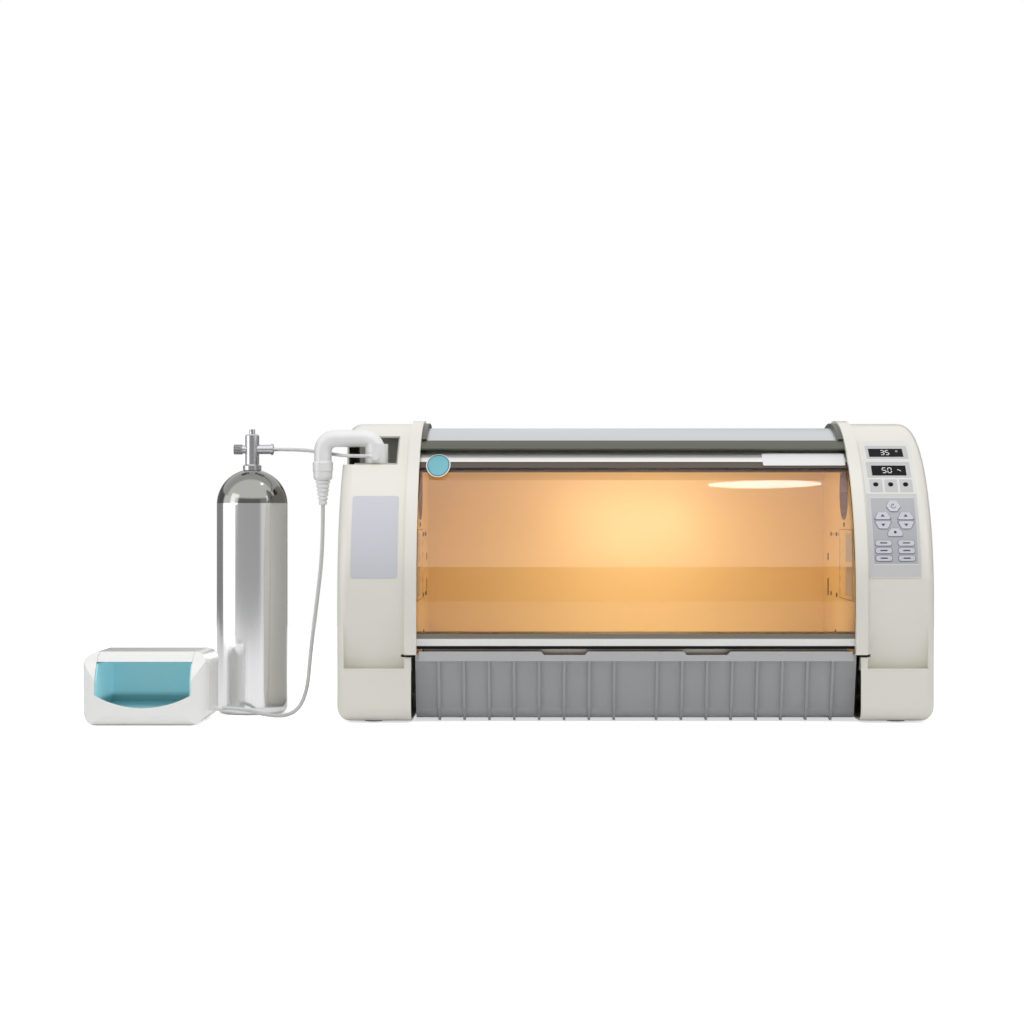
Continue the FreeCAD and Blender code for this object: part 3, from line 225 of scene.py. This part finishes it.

# The chamber is lined with warm white stove-enamelled sheet, over a brushed steel floor tray.
# A warm lamp panel lights it from above, and the liner's amber colour is painted light from that lamp.
LINER_PAINTED_GLOW = (0.76, 0.52, 0.205)
LINER_PAINTED_GLOW_DRIFT = (0.73, 0.49, 0.19)
LAMP_GLOW = (1.0, 0.62, 0.26)
# The liner's amber colour is painted lamp light on white enamel.
dress(moulded("enamel_liner_painted_glow", LINER_PAINTED_GLOW, LINER_PAINTED_GLOW_DRIFT, 0.35),
      "left_side_liner", "right_side_liner", "rear_liner", "ceiling_liner", "vent_inserts")
dress(brushed("tray_steel", (0.62, 0.58, 0.52), (0.54, 0.50, 0.45), 0.3), "floor_tray")
lamp_diffuser = moulded("lamp_diffuser", (1.0, 0.85, 0.62), (1.0, 0.82, 0.58), 0.5)
lamp_shader = lamp_diffuser.node_tree.nodes["Principled BSDF"]
lamp_shader.inputs["Emission Color"].default_value = (*LAMP_GLOW, 1.0)
lamp_shader.inputs["Emission Strength"].default_value = 1.2
dress(lamp_diffuser, "ceiling_lamp")

# Each side wall has a vent with two panes of wire mesh, and screws that hold the liner.
# Outlines on a wall are in millimetres, back from the chamber's front and up from the table.
WALL_X = 0.335
WALL_FRONT = -0.2265
WALLS = ((-1, "left"), (1, "right"))
MESH_HEIGHTS = (1.0, 1.5)
SCREW_HEIGHTS = (0.0, 1.6)
SCREW_RADIUS = 3.4
PANE_BOTTOMS = (190.0, 242.5)
PANE_TALL = 43.5
SCREWS = ((270, 126), (64, 126), (256, 186), (256, 284), (165, 300), (330, 186), (330, 284))


def oval(x, up, wide, high, count=40):
    """An oval outline about a place, given its half width and half height."""
    turns = [2 * math.pi * k / count for k in range(count)]
    return [Vector((x + wide * math.cos(turn), up + high * math.sin(turn))) for turn in turns]


def wall_patch(name, faces, side, heights, material):
    """A thin plate on a side wall of the chamber."""
    def place(deep, up, out):
        return MIDDLE_X + side * (WALL_X - out / 1000), WALL_FRONT + deep / 1000, up / 1000
    plate(name, faces, place, heights, material, "brooder")


vent_mesh = moulded("vent_mesh", (0.58, 0.46, 0.36), (0.50, 0.40, 0.31), 0.5, grain=1400.0, depth=0.0002)
wall_screw = moulded("wall_screw", (0.10, 0.075, 0.055), (0.14, 0.11, 0.08), 0.35, metallic=0.6)
for side, label in WALLS:
    panes = [oblong(64.0, 132.0, low, low + PANE_TALL, 1.5) for low in PANE_BOTTOMS]
    wall_patch(f"{label}_vent_mesh", panes, side, MESH_HEIGHTS, vent_mesh)
    screws = [oval(deep, up, SCREW_RADIUS, SCREW_RADIUS, 16) for deep, up in SCREWS]
    wall_patch(f"{label}_wall_screws", screws, side, SCREW_HEIGHTS, wall_screw)

# Further back each side wall is pierced by two slots and a row of small holes, drawn as thin dark plates
# of painted shadow.
# A fine painted shadow line marks the edge of the insert that holds the vent's panes.
SLOT_SHADOW_HEIGHTS = (0.0, 0.3)
FRAME_SHADOW_HEIGHTS = (2.0, 2.25)
FRAME_SHADOW_WIDTH = 1.6
HOLE_RADIUS = 2.2
HOLE_UP = 284
HOLES = range(236, 346, 22)


def rim(points, width):
    """The strip that runs round the outside of an outline, as four-cornered faces."""
    grown = []
    for before, corner, after in zip(points[-1:] + points[:-1], points, points[1:] + points[:1]):
        sides = [(corner - before).normalized(), (after - corner).normalized()]
        across = [Vector((side.y, -side.x)) for side in sides]
        grown.append(corner + (across[0] + across[1]) * (width / (1 + across[0].dot(across[1]))))
    return [[points[i - 1], points[i], grown[i], grown[i - 1]] for i in range(len(points))]


slot_shadow = moulded("slot_shadow", (0.085, 0.045, 0.022), (0.11, 0.06, 0.03), 0.6)
frame_shadow_line = moulded("frame_shadow_line", (0.40, 0.24, 0.12), (0.35, 0.21, 0.10), 0.5)
for side, label in WALLS:
    slots = [oblong(366.0, 382.0, 240.0, 252.0, 2.0), oblong(366.0, 382.0, 181.0, 210.0, 2.0)]
    holes = [oval(deep, HOLE_UP, HOLE_RADIUS, HOLE_RADIUS, 12) for deep in HOLES]
    # Dark plates of painted shadow stand in for the slots and holes.
    wall_patch(f"{label}_wall_slot_shadows", slots + holes, side, SLOT_SHADOW_HEIGHTS, slot_shadow)
    # A painted shadow line round the vent's insert.
    vent_edge = rim(oblong(58.5, 209.5, 184.5, 291.5, 1.5), FRAME_SHADOW_WIDTH)
    wall_patch(f"{label}_vent_frame_shadow", vent_edge, side, FRAME_SHADOW_HEIGHTS, frame_shadow_line)

# The door is a curved clear sheet that slides up and back under the roof. A dark extrusion holds
# it above, a white one with a rubber seal below, and a nylon guide runs in a track at each end.
# The seal's black rubber also makes the cabinet's feet.
window_clear = bpy.data.materials.new("window_clear")
window_clear.use_nodes = True
clear = window_clear.node_tree.nodes["Principled BSDF"]
clear.inputs["Base Color"].default_value = (0.985, 0.99, 0.99, 1.0)
clear.inputs["Transmission Weight"].default_value = 1.0
clear.inputs["Roughness"].default_value = 0.02
clear.inputs["IOR"].default_value = 1.45
dress(window_clear, "door_window")
dress(brushed("top_rail_extrusion", (0.58, 0.58, 0.56), (0.52, 0.52, 0.50), 0.5), "door_top_rail")
dress(brushed("trim_extrusion", (0.22, 0.21, 0.185), (0.19, 0.18, 0.16), 0.4), "door_bottom_trim")
# The top rail, its ridge and its lip are one aluminium extrusion in three tones: the ridge's near white
# is painted highlight, the lip's dark brown painted shade.
dress(brushed("ridge_painted_highlight", (0.93, 0.92, 0.90), (0.86, 0.85, 0.83), 0.35), "door_top_ridge")
dress(brushed("lip_painted_shade", (0.135, 0.115, 0.10), (0.11, 0.09, 0.08), 0.4), "door_top_lip")
dress(moulded("bottom_rail_white", (0.95, 0.95, 0.935), (0.93, 0.93, 0.915), 0.3, coat=0.3),
      "door_bottom_rail")
seal_rubber = moulded("seal_rubber", (0.010, 0.010, 0.010), (0.014, 0.014, 0.014), 0.8)
seal_rubber.node_tree.nodes["Principled BSDF"].inputs["Specular IOR Level"].default_value = 0.2
dress(seal_rubber, "door_seal", "rubber_feet")
dress(moulded("track_nylon", (0.045, 0.045, 0.045), (0.035, 0.035, 0.035), 0.45),
      "door_tracks", "door_guides")

# A bare white plate and a bare teal disc are stuck on the door's top ridge, which is painted bright as a
# painted highlight.
# The disc is drawn taller than wide, because the ridge leans back there.
RIDGE_RADIUS = 263.5
DOOR_FILM = (0.05, 0.4)
BADGE_AT = (-303.5, 233.5)
BADGE_RADIUS = 15.8
BADGE_TALLER = 1.56
BADGE_LINE = 1.6
ridge_face = round_face(RIDGE_RADIUS)
badge_white = moulded("badge_white", (0.83, 0.83, 0.84), (0.80, 0.80, 0.81), 0.3)
badge_teal = moulded("badge_teal", (0.17, 0.48, 0.56), (0.15, 0.45, 0.53), 0.3)
badge_ring = moulded("badge_ring", (0.035, 0.16, 0.20), (0.03, 0.14, 0.18), 0.3)
plate("top_rail_plate", [oblong(202.0, 330.0, 232.0, 264.6, 3.0)], ridge_face, DOOR_FILM,
      badge_white, "door")
for label, radius, finish in (("badge_rim", BADGE_RADIUS + BADGE_LINE, badge_white),
                              ("badge_band", BADGE_RADIUS, badge_ring)):
    plate(label, rim(oval(*BADGE_AT, radius, radius * BADGE_TALLER), BADGE_LINE), ridge_face,
          DOOR_FILM, finish, "door")
plate("badge_face", [oval(*BADGE_AT, BADGE_RADIUS, BADGE_RADIUS * BADGE_TALLER)], ridge_face,
      DOOR_FILM, badge_teal, "door")

# Two small axial fans of dark nylon stir the air in the chamber.
# One is screwed to each side liner, its rotor on a shaft behind a moulded grille.
dress(moulded("fan_nylon", (0.34, 0.15, 0.085), (0.29, 0.125, 0.07), 0.6),
      "fan_frames", "left_fan_rotor", "right_fan_rotor")

# A pale printed film covers the control area on the right housing's round front. It is stuck on
# over the circuit board. Heights on it are given in degrees round the front's axis.
FILM_RADIUS = 274.8
DEGREE = FILM_RADIUS * math.radians(1.0)
film_face = round_face(FILM_RADIUS)
dress(moulded("control_film", (0.74, 0.735, 0.71), (0.71, 0.705, 0.68), 0.4), "control_overlay")
dress(moulded("board_resin", (0.03, 0.16, 0.07), (0.025, 0.13, 0.06), 0.4), "control_board")

# The keypad is a darker film with twelve moulded keys, in a paler surround with mitred corners.
# A key is a raised pad with a blue outline round it and a plain mark on its top. It is given by
# its place across, its angle, its shape and its mark.
KEY_OUTLINE = (0.75, 0.95)
KEY_MARK = (1.98, 2.12)
SURROUND_FILM = (0.0, 0.14)
KEY_SHAPES = {
    "pill": oblong(-12.3, 12.3, -4.3, 4.3, 3.6),
    "upper": soft_corners([(-13, -6.2), (13, -6.2), (6.5, 6.2), (-6.5, 6.2)], 2.2),
    "lower": soft_corners([(-6.5, -6.2), (6.5, -6.2), (13, 6.2), (-13, 6.2)], 2.2),
    "six": soft_corners([(-11, 0), (-5.5, -9.5), (5.5, -9.5), (11, 0), (5.5, 9.5), (-5.5, 9.5)], 2.4),
    "cap": soft_corners([(-11, -6.5), (11, -6.5), (11, 0), (5.5, 6.5), (-5.5, 6.5), (-11, 0)], 2.2),
}
UP_ARROW = [[(-3.2, -1.8), (3.2, -1.8), (0, 2.6)]]
DOWN_ARROW = [[(-3.2, 1.8), (0, -2.6), (3.2, 1.8)]]
DASH = [oblong(-5.5, 5.5, -0.9, 0.9, 0.8)]
DOT = [oval(0, 0, 2.2, 2.2, 20)]
SWITCH_STEM = [(-0.5, 0.0), (0.5, 0.0), (0.5, 4.2), (-0.5, 4.2)]
SWITCH = rim(oval(0, -0.6, 3.0, 3.0, 24), 0.9)[8:] + [SWITCH_STEM]
KEYS = {
    "key_power": (394, 30.6, "six", SWITCH),
    "key_temperature_up": (376.5, 27.05, "upper", UP_ARROW),
    "key_temperature_down": (376.5, 23.85, "lower", DOWN_ARROW),
    "key_humidity_up": (411.5, 27.05, "upper", UP_ARROW),
    "key_humidity_down": (411.5, 23.85, "lower", DOWN_ARROW),
    "key_confirm": (394, 21.35, "cap", DOT),
    "key_function_one": (375.5, 17.75, "pill", DASH),
    "key_function_two": (410, 17.75, "pill", DASH),
    "key_function_three": (375.5, 15.28, "pill", DASH),
    "key_function_four": (410, 15.28, "pill", DASH),
    "key_function_five": (375.5, 12.81, "pill", DASH),
    "key_function_six": (410, 12.81, "pill", DASH),
}


def flat_face(x, angle):
    """Places a plate on a flat face that touches the housing's round one at an angle."""
    turn = math.radians(angle)
    cos = math.cos(turn)
    sin = math.sin(turn)
    return lambda across, up, out: (MIDDLE_X + (x + across) / 1000,
                                    AXIS_Y - ((HOUSING_RADIUS + out) * cos - up * sin) / 1000,
                                    AXIS_Z + ((HOUSING_RADIUS + out) * sin + up * cos) / 1000)


dress(moulded("keypad_film", (0.443, 0.448, 0.468), (0.425, 0.43, 0.45), 0.42), "keypad_plate")
dress(moulded("key_film", (0.60, 0.61, 0.655), (0.58, 0.59, 0.635), 0.38), *KEYS)
outline_ink = moulded("outline_ink", (0.13, 0.14, 0.27), (0.11, 0.12, 0.24), 0.4)
mark_ink = moulded("mark_ink", (0.03, 0.03, 0.05), (0.04, 0.04, 0.06), 0.4)
for label, (x, angle, form, marks) in KEYS.items():
    key_face = flat_face(x, angle)
    plate(label + "_outline", rim(KEY_SHAPES[form], 0.8), key_face, KEY_OUTLINE, outline_ink,
          "brooder")
    plate(label + "_mark", marks, key_face, KEY_MARK, mark_ink, label + "_body")

inner = [(359.7, 10.75 * DEGREE), (427.3, 10.75 * DEGREE), (427.3, 34.0 * DEGREE), (359.7, 34.0 * DEGREE)]
outer = [(354.0, 6.9 * DEGREE), (431.0, 6.9 * DEGREE), (431.0, 35.3 * DEGREE), (354.0, 35.3 * DEGREE)]
surround = [[outer[k - 1], outer[k], inner[k], inner[k - 1]] for k in range(4)]
surround_film = moulded("surround_film", (0.59, 0.59, 0.595), (0.57, 0.57, 0.575), 0.42)
plate("keypad_surround", surround, film_face, SURROUND_FILM, surround_film, "brooder")

# The two displays and three lamps are black windows, each on a grey field of the film.
# The displays show numerals whose seven segments glow a little, a degree ring and a stroke.
FIELD_FILM = (0.0, 0.12)
FIELDS = {
    "temperature_field": (362.5, 427.5, 51.0, 58.6),
    "humidity_field": (359.5, 427.0, 42.0, 49.4),
    "left_lamp_field": (361.0, 381.0, 36.0, 41.3),
    "middle_lamp_field": (384.0, 404.0, 36.0, 41.3),
    "right_lamp_field": (407.0, 427.0, 36.0, 41.3),
}
ON_DISPLAY = (1.38, 1.52)
STROKE = 1.5
SEGMENTS = {"3": "abcdg", "5": "acdfg", "0": "abcdef"}
BARS = {
    "a": (0, 1, 1, 1),
    "b": (1, 0.5, 1, 1),
    "c": (1, 0, 1, 0.5),
    "d": (0, 0, 1, 0),
    "e": (0, 0, 0, 0.5),
    "f": (0, 0.5, 0, 1),
    "g": (0, 0.5, 1, 0.5),
}
DEGREE_RING = rim(oval(17.0, 3.6, 1.0, 1.2, 14), 0.7)
SLANT_STROKE = [[(13.0, 1.6), (13.6, 2.6), (19.0, -1.2), (18.4, -2.2)]]


def digits(text, left, wide, high, gap):
    """Seven-segment numerals, each segment one face."""
    faces = []
    for place, figure in enumerate(text):
        start = left + place * (wide + gap)
        for name in SEGMENTS[figure]:
            x0, y0, x1, y1 = BARS[name]
            grow_x, grow_y = (-0.4, STROKE / 2) if y0 == y1 else (STROKE / 2, -1.1)
            x0 = start + x0 * wide - grow_x
            x1 = start + x1 * wide + grow_x
            y0 = (y0 - 0.5) * high - grow_y
            y1 = (y1 - 0.5) * high + grow_y
            faces.append([(x0, y0), (x1, y0), (x1, y1), (x0, y1)])
    return faces


display_window = moulded("display_window", (0.004, 0.004, 0.005), (0.008, 0.008, 0.009), 0.45)
display_window.node_tree.nodes["Principled BSDF"].inputs["Specular IOR Level"].default_value = 0.08
dress(display_window, "temperature_display", "humidity_display", "status_lamps")
panel_shade = moulded("panel_shade", (0.54, 0.54, 0.545), (0.52, 0.52, 0.525), 0.4)
for label, (left, right, low, high) in FIELDS.items():
    plate(label, [oblong(left, right, low * DEGREE, high * DEGREE, 2.0)], film_face, FIELD_FILM,
          panel_shade, "brooder")
digit_glow = moulded("digit_glow", (0.55, 0.56, 0.55), (0.50, 0.51, 0.50), 0.5)
digit_shader = digit_glow.node_tree.nodes["Principled BSDF"]
digit_shader.inputs["Emission Color"].default_value = (0.60, 0.62, 0.60, 1.0)
digit_shader.inputs["Emission Strength"].default_value = 0.35
plate("temperature_digits", digits("35", -8.0, 5.0, 12.0, 2.6) + DEGREE_RING, flat_face(393.5, 54.3),
      ON_DISPLAY, digit_glow, "brooder")
plate("humidity_digits", digits("50", -10.0, 5.4, 11.0, 3.0) + SLANT_STROKE, flat_face(393.5, 45.2),
      ON_DISPLAY, digit_glow, "brooder")

# The mains inlet is a black nylon moulding.
# It is pressed into the back of the right housing.
dress(moulded("inlet_nylon", (0.02, 0.02, 0.02), (0.03, 0.03, 0.03), 0.4), "mains_inlet")

# A white tee and bent pipe bring mist into the chamber. They plug into a grey recess, and the
# nebuliser's cup and ribbed boot hang from the pipe's end.
dress(moulded("recess_grey", (0.40, 0.40, 0.36), (0.37, 0.37, 0.33), 0.45), "port_recess")
dress(moulded("pipe_gloss", (0.86, 0.86, 0.865), (0.83, 0.83, 0.84), 0.2, coat=0.4),
      "port_tee", "mist_elbow", "nebuliser_cup")
dress(moulded("boot_rubber", (0.88, 0.88, 0.885), (0.85, 0.85, 0.855), 0.5), "tube_boot")

# The oxygen cylinder is polished aluminium; its dome from the shoulder up is painted darker as a painted
# reflection.
# A brushed steel valve block is screwed in on top, with a spindle and a nylon flow knob.
SHOULDER = 0.3335
DOME_PAINTED_REFLECTION = (0.25, 0.25, 0.235)
polished_cylinder_painted_dome = brushed("polished_cylinder_painted_dome", (0.86, 0.86, 0.87), (0.80, 0.80, 0.815), 0.12,
                            stretch=(300.0, 300.0, 3.0))
# Painted reflection: the dome above the shoulder is painted dark grey.
paint_above(polished_cylinder_painted_dome, SHOULDER, DOME_PAINTED_REFLECTION)
dress(polished_cylinder_painted_dome, "oxygen_cylinder")
dress(brushed("valve_steel", (0.55, 0.55, 0.57), (0.45, 0.45, 0.47), 0.25, stretch=(400.0, 400.0, 40.0)),
      "cylinder_valve", "valve_spindle")
dress(moulded("knob_nylon", (0.30, 0.30, 0.32), (0.26, 0.26, 0.28), 0.4), "flow_knob")

# The nebuliser's compressor is a glossy white case with a hinged lid over a teal bay.
# The bay is teal plastic, and above its floor it glows with painted light, as if lit from inside.
BAY_FLOOR = 0.034
BAY_FULL_GLOW_HEIGHT = 0.042
BAY_PAINTED_GLOW = 0.27
dress(moulded("case_white", (0.93, 0.93, 0.92), (0.90, 0.90, 0.89), 0.2, coat=0.4),
      "compressor_case", "compressor_lid")
bay_teal_painted_glow = moulded("bay_teal_painted_glow", (0.36, 0.64, 0.67), (0.33, 0.61, 0.64), 0.25)
bay_shader = bay_teal_painted_glow.node_tree.nodes["Principled BSDF"]
bay_shader.inputs["Emission Color"].default_value = (0.33, 0.72, 0.83, 1.0)
# Painted light: the teal glows from its floor upwards.
bay_teal_painted_glow.node_tree.links.new(above(bay_teal_painted_glow.node_tree, BAY_FLOOR, BAY_FULL_GLOW_HEIGHT, end=BAY_PAINTED_GLOW),
                             bay_shader.inputs["Emission Strength"])
dress(bay_teal_painted_glow, "compressor_tray")

# Two thin vinyl hoses: oxygen goes taut from the valve to the tee, and air comes from the
# compressor along the table and up to the nebuliser's boot. Each lies where its own solid lies.
OXYGEN_ROUTE = [(-0.373, -0.0275, 0.4196), (-0.335, -0.0275, 0.4196), (-0.300, -0.060, 0.414),
                (-0.276, -0.0985, 0.410), (-0.254, -0.1275, 0.4068), (-0.220, -0.1275, 0.4068)]
AIR_ROUTE = [(-0.294, -0.1055, 0.331), (-0.294, -0.1055, 0.262), (-0.303, -0.106, 0.182),
             (-0.313, -0.107, 0.104), (-0.318, -0.109, 0.038), (-0.338, -0.113, 0.0035),
             (-0.380, -0.118, 0.0032), (-0.415, -0.130, 0.016), (-0.447, -0.130, 0.016)]
hose_vinyl = moulded("hose_vinyl", (0.66, 0.67, 0.67), (0.62, 0.63, 0.63), 0.3)


def vinyl_hose(name, node, route, diameter):
    """A smooth hose through the given points, drawn in place of the imported one, which it hides."""
    curve = bpy.data.curves.new(name, "CURVE")
    curve.dimensions = "3D"
    curve.bevel_depth = diameter / 2
    curve.bevel_resolution = 6
    curve.resolution_u = 24
    curve.use_fill_caps = True
    curve.materials.append(hose_vinyl)
    spline = curve.splines.new("NURBS")
    spline.points.add(len(route) - 1)
    for point, place in zip(spline.points, route):
        point.co = (*place, 1.0)
    spline.order_u = 3
    spline.use_endpoint_u = True
    hose = bpy.data.objects.new(name, curve)
    bpy.context.scene.collection.objects.link(hose)
    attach(hose, "brooder")
    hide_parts(node)


vinyl_hose("oxygen_hose_vinyl", "oxygen_hose", OXYGEN_ROUTE, 0.0056)
vinyl_hose("air_tube_vinyl", "air_tube", AIR_ROUTE, 0.006)

# The set stands on a plain white floor, which keeps its shadow.
# The floor looks white to the camera, and metal and glass mirror it a little lighter than it is.
FLOOR_HALF = 2.7
FLOOR_LIFT = 0.50
FLOOR_MIRRORED = 0.15
floor_mesh = bpy.data.meshes.new("floor")
floor_shape = bmesh.new()
bmesh.ops.create_grid(floor_shape, x_segments=1, y_segments=1, size=FLOOR_HALF)
floor_shape.to_mesh(floor_mesh)
floor_shape.free()
floor = bpy.data.objects.new("floor", floor_mesh)
bpy.context.scene.collection.objects.link(floor)


def worked_out(tree, operation, *values):
    """A Math node's result; each value is a plain number or another node's output."""
    step = tree.nodes.new("ShaderNodeMath")
    step.operation = operation
    for socket, value in zip(step.inputs, values):
        if isinstance(value, float):
            socket.default_value = value
        else:
            tree.links.new(value, socket)
    return step.outputs[0]


def seen_directly(tree, *kinds):
    """A value that is 1 for the camera's rays and for those that metal and glass send on."""
    path = tree.nodes.new("ShaderNodeLightPath")
    total = path.outputs["Is Camera Ray"]
    for kind in kinds:
        total = worked_out(tree, "MAXIMUM", total, path.outputs[kind])
    not_bounced = worked_out(tree, "LESS_THAN", path.outputs["Diffuse Depth"], 0.5)
    return worked_out(tree, "MULTIPLY", total, not_bounced)


studio_white = bpy.data.materials.new("studio_white")
studio_white.use_nodes = True
tree = studio_white.node_tree
paint = tree.nodes["Principled BSDF"]
paint.inputs["Base Color"].default_value = (0.9, 0.9, 0.9, 1.0)
paint.inputs["Roughness"].default_value = 0.9
paint.inputs["Specular IOR Level"].default_value = 0.0
paint.inputs["Emission Color"].default_value = (1.0, 1.0, 1.0, 1.0)
mirrored = worked_out(tree, "MULTIPLY", seen_directly(tree, "Is Glossy Ray", "Is Transmission Ray"),
                      FLOOR_MIRRORED)
lift = worked_out(tree, "MULTIPLY_ADD", seen_directly(tree), FLOOR_LIFT, mirrored)
tree.links.new(lift, paint.inputs["Emission Strength"])
floor_mesh.materials.append(studio_white)

# The room is white to the camera and behind the glass, and lights the set with a soft grey.
# Metal and glass mirror its walls, which are bright and dark by bearing, and a bright ceiling.
ROOM_LEVEL = 0.44
BEHIND_GLASS = 0.3
WALL_TOP = 0.33
CEILING_BOTTOM = 0.345
CEILING_LEVEL = 1.7
WALL_LEVELS = [(-180, 1.0), (-170, 0.24), (-104, 0.24), (-97, 1.9), (-54, 1.9), (-49, 0.38),
               (30, 0.36), (40, 0.68), (98, 0.62), (106, 0.14), (170, 0.14), (180, 1.0)]
world = bpy.data.worlds.new("studio")
bpy.context.scene.world = world
world.use_nodes = True
tree = world.node_tree
path = tree.nodes.new("ShaderNodeLightPath")
direction = tree.nodes.new("ShaderNodeTexCoord")
axes = tree.nodes.new("ShaderNodeSeparateXYZ")
tree.links.new(direction.outputs["Generated"], axes.inputs[0])

room = tree.nodes["Background"]
room.inputs["Color"].default_value = (1.0, 1.0, 1.0, 1.0)
room.inputs["Strength"].default_value = ROOM_LEVEL
backdrop = tree.nodes.new("ShaderNodeBackground")
backdrop.inputs["Color"].default_value = (1.0, 1.0, 1.0, 1.0)
backdrop.inputs["Strength"].default_value = 1.0

front = worked_out(tree, "MULTIPLY", axes.outputs["Y"], -1.0)
bearing = worked_out(tree, "ARCTAN2", axes.outputs["X"], front)
walls = tree.nodes.new("ShaderNodeValToRGB")
for k, (degrees, level) in enumerate(WALL_LEVELS):
    stop = walls.color_ramp.elements[k] if k < 2 else walls.color_ramp.elements.new(1.0)
    stop.position = degrees / 360 + 0.5
    stop.color = (level, level, level, 1.0)
tree.links.new(ramp(tree, bearing, -math.pi, math.pi), walls.inputs[0])
around = tree.nodes.new("ShaderNodeMix")
around.data_type = "RGBA"
tree.links.new(ramp(tree, axes.outputs["Z"], WALL_TOP, CEILING_BOTTOM), around.inputs[0])
tree.links.new(walls.outputs[0], around.inputs[6])
tree.links.new(ramp(tree, front, -0.05, 0.05, 1.0, CEILING_LEVEL), around.inputs[7])
reflected = tree.nodes.new("ShaderNodeBackground")
tree.links.new(around.outputs[2], reflected.inputs["Color"])

glassy = worked_out(tree, "MULTIPLY", seen_directly(tree, "Is Transmission Ray"),
                    path.outputs["Is Transmission Ray"])
shiny = worked_out(tree, "MAXIMUM", path.outputs["Is Glossy Ray"], glassy)
gloss = tree.nodes.new("ShaderNodeMixShader")
tree.links.new(shiny, gloss.inputs[0])
tree.links.new(room.outputs[0], gloss.inputs[1])
tree.links.new(reflected.outputs[0], gloss.inputs[2])
behind = worked_out(tree, "GREATER_THAN", axes.outputs["Y"], BEHIND_GLASS)
through = worked_out(tree, "MULTIPLY", seen_directly(tree, "Is Transmission Ray"), behind)
plain = worked_out(tree, "MAXIMUM", path.outputs["Is Camera Ray"], through)
pick = tree.nodes.new("ShaderNodeMixShader")
tree.links.new(plain, pick.inputs[0])
tree.links.new(gloss.outputs[0], pick.inputs[1])
tree.links.new(backdrop.outputs[0], pick.inputs[2])
tree.links.new(pick.outputs[0], tree.nodes["World Output"].inputs[0])

# Large soft lamps hang above and at both sides, and a small one draws the streak on the window.
# Two warm ones in the chamber help its lamp panel to light the rear wall.
WHITE = (1.0, 1.0, 1.0)


def soft_lamp(name, place, aim, size, power, tint=WHITE, depth=None, mirrored=True, shape="RECTANGLE"):
    """An area lamp that points at a place."""
    data = bpy.data.lights.new(name, "AREA")
    data.shape = shape
    data.size = size
    data.size_y = depth or size
    data.energy = power
    data.color = tint
    lamp = bpy.data.objects.new(name, data)
    lamp.location = place
    lamp.rotation_euler = (Vector(aim) - Vector(place)).to_track_quat("-Z", "Y").to_euler()
    lamp.visible_glossy = mirrored
    lamp.visible_transmission = mirrored
    bpy.context.scene.collection.objects.link(lamp)


soft_lamp("top_lamp", (0.1, -0.9, 2.8), (0.1, 0.0, 0.2), 2.2, 38.0, mirrored=False)
soft_lamp("left_fill", (-2.6, -1.6, 1.1), (0.0, 0.0, 0.2), 1.4, 10.0)
soft_lamp("right_fill", (2.8, -1.4, 1.2), (0.1, 0.0, 0.2), 1.4, 9.0)
soft_lamp("window_streak", (0.585, -0.33, 2.4), (0.39, -0.14, 0.364), 0.30, 1.3, depth=0.25,
          shape="ELLIPSE")
soft_lamp("chamber_glow", (0.19, 0.04, 0.395), (0.19, 0.05, 0.1), 0.24, 0.22,
          tint=(1.0, 0.83, 0.56), depth=0.14)
soft_lamp("chamber_wash", (0.22, -0.12, 0.30), (0.22, 0.21, 0.20), 0.22, 0.70,
          tint=(1.0, 0.84, 0.58), depth=0.08)

# The camera stands level, straight in front, at the photograph's distance and height.
# Its focal length and the column that it looks along are in the photograph's pixels.
CAMERA = Vector((0.0525, -3.7265, 0.320))
FOCAL = 2321.0
FRAME = 1024.0
AXIS_COLUMN = 545.0
SENSOR = 36.0
camera_data = bpy.data.cameras.new("camera")
camera_data.lens = FOCAL / FRAME * SENSOR
camera_data.sensor_width = SENSOR
camera_data.shift_x = (FRAME / 2 - AXIS_COLUMN) / FRAME
camera = bpy.data.objects.new("camera", camera_data)
camera.location = CAMERA
camera.rotation_euler = (math.radians(90.0), 0.0, 0.0)
bpy.context.scene.collection.objects.link(camera)
bpy.context.scene.camera = camera
bpy.context.scene.view_settings.view_transform = "Standard"
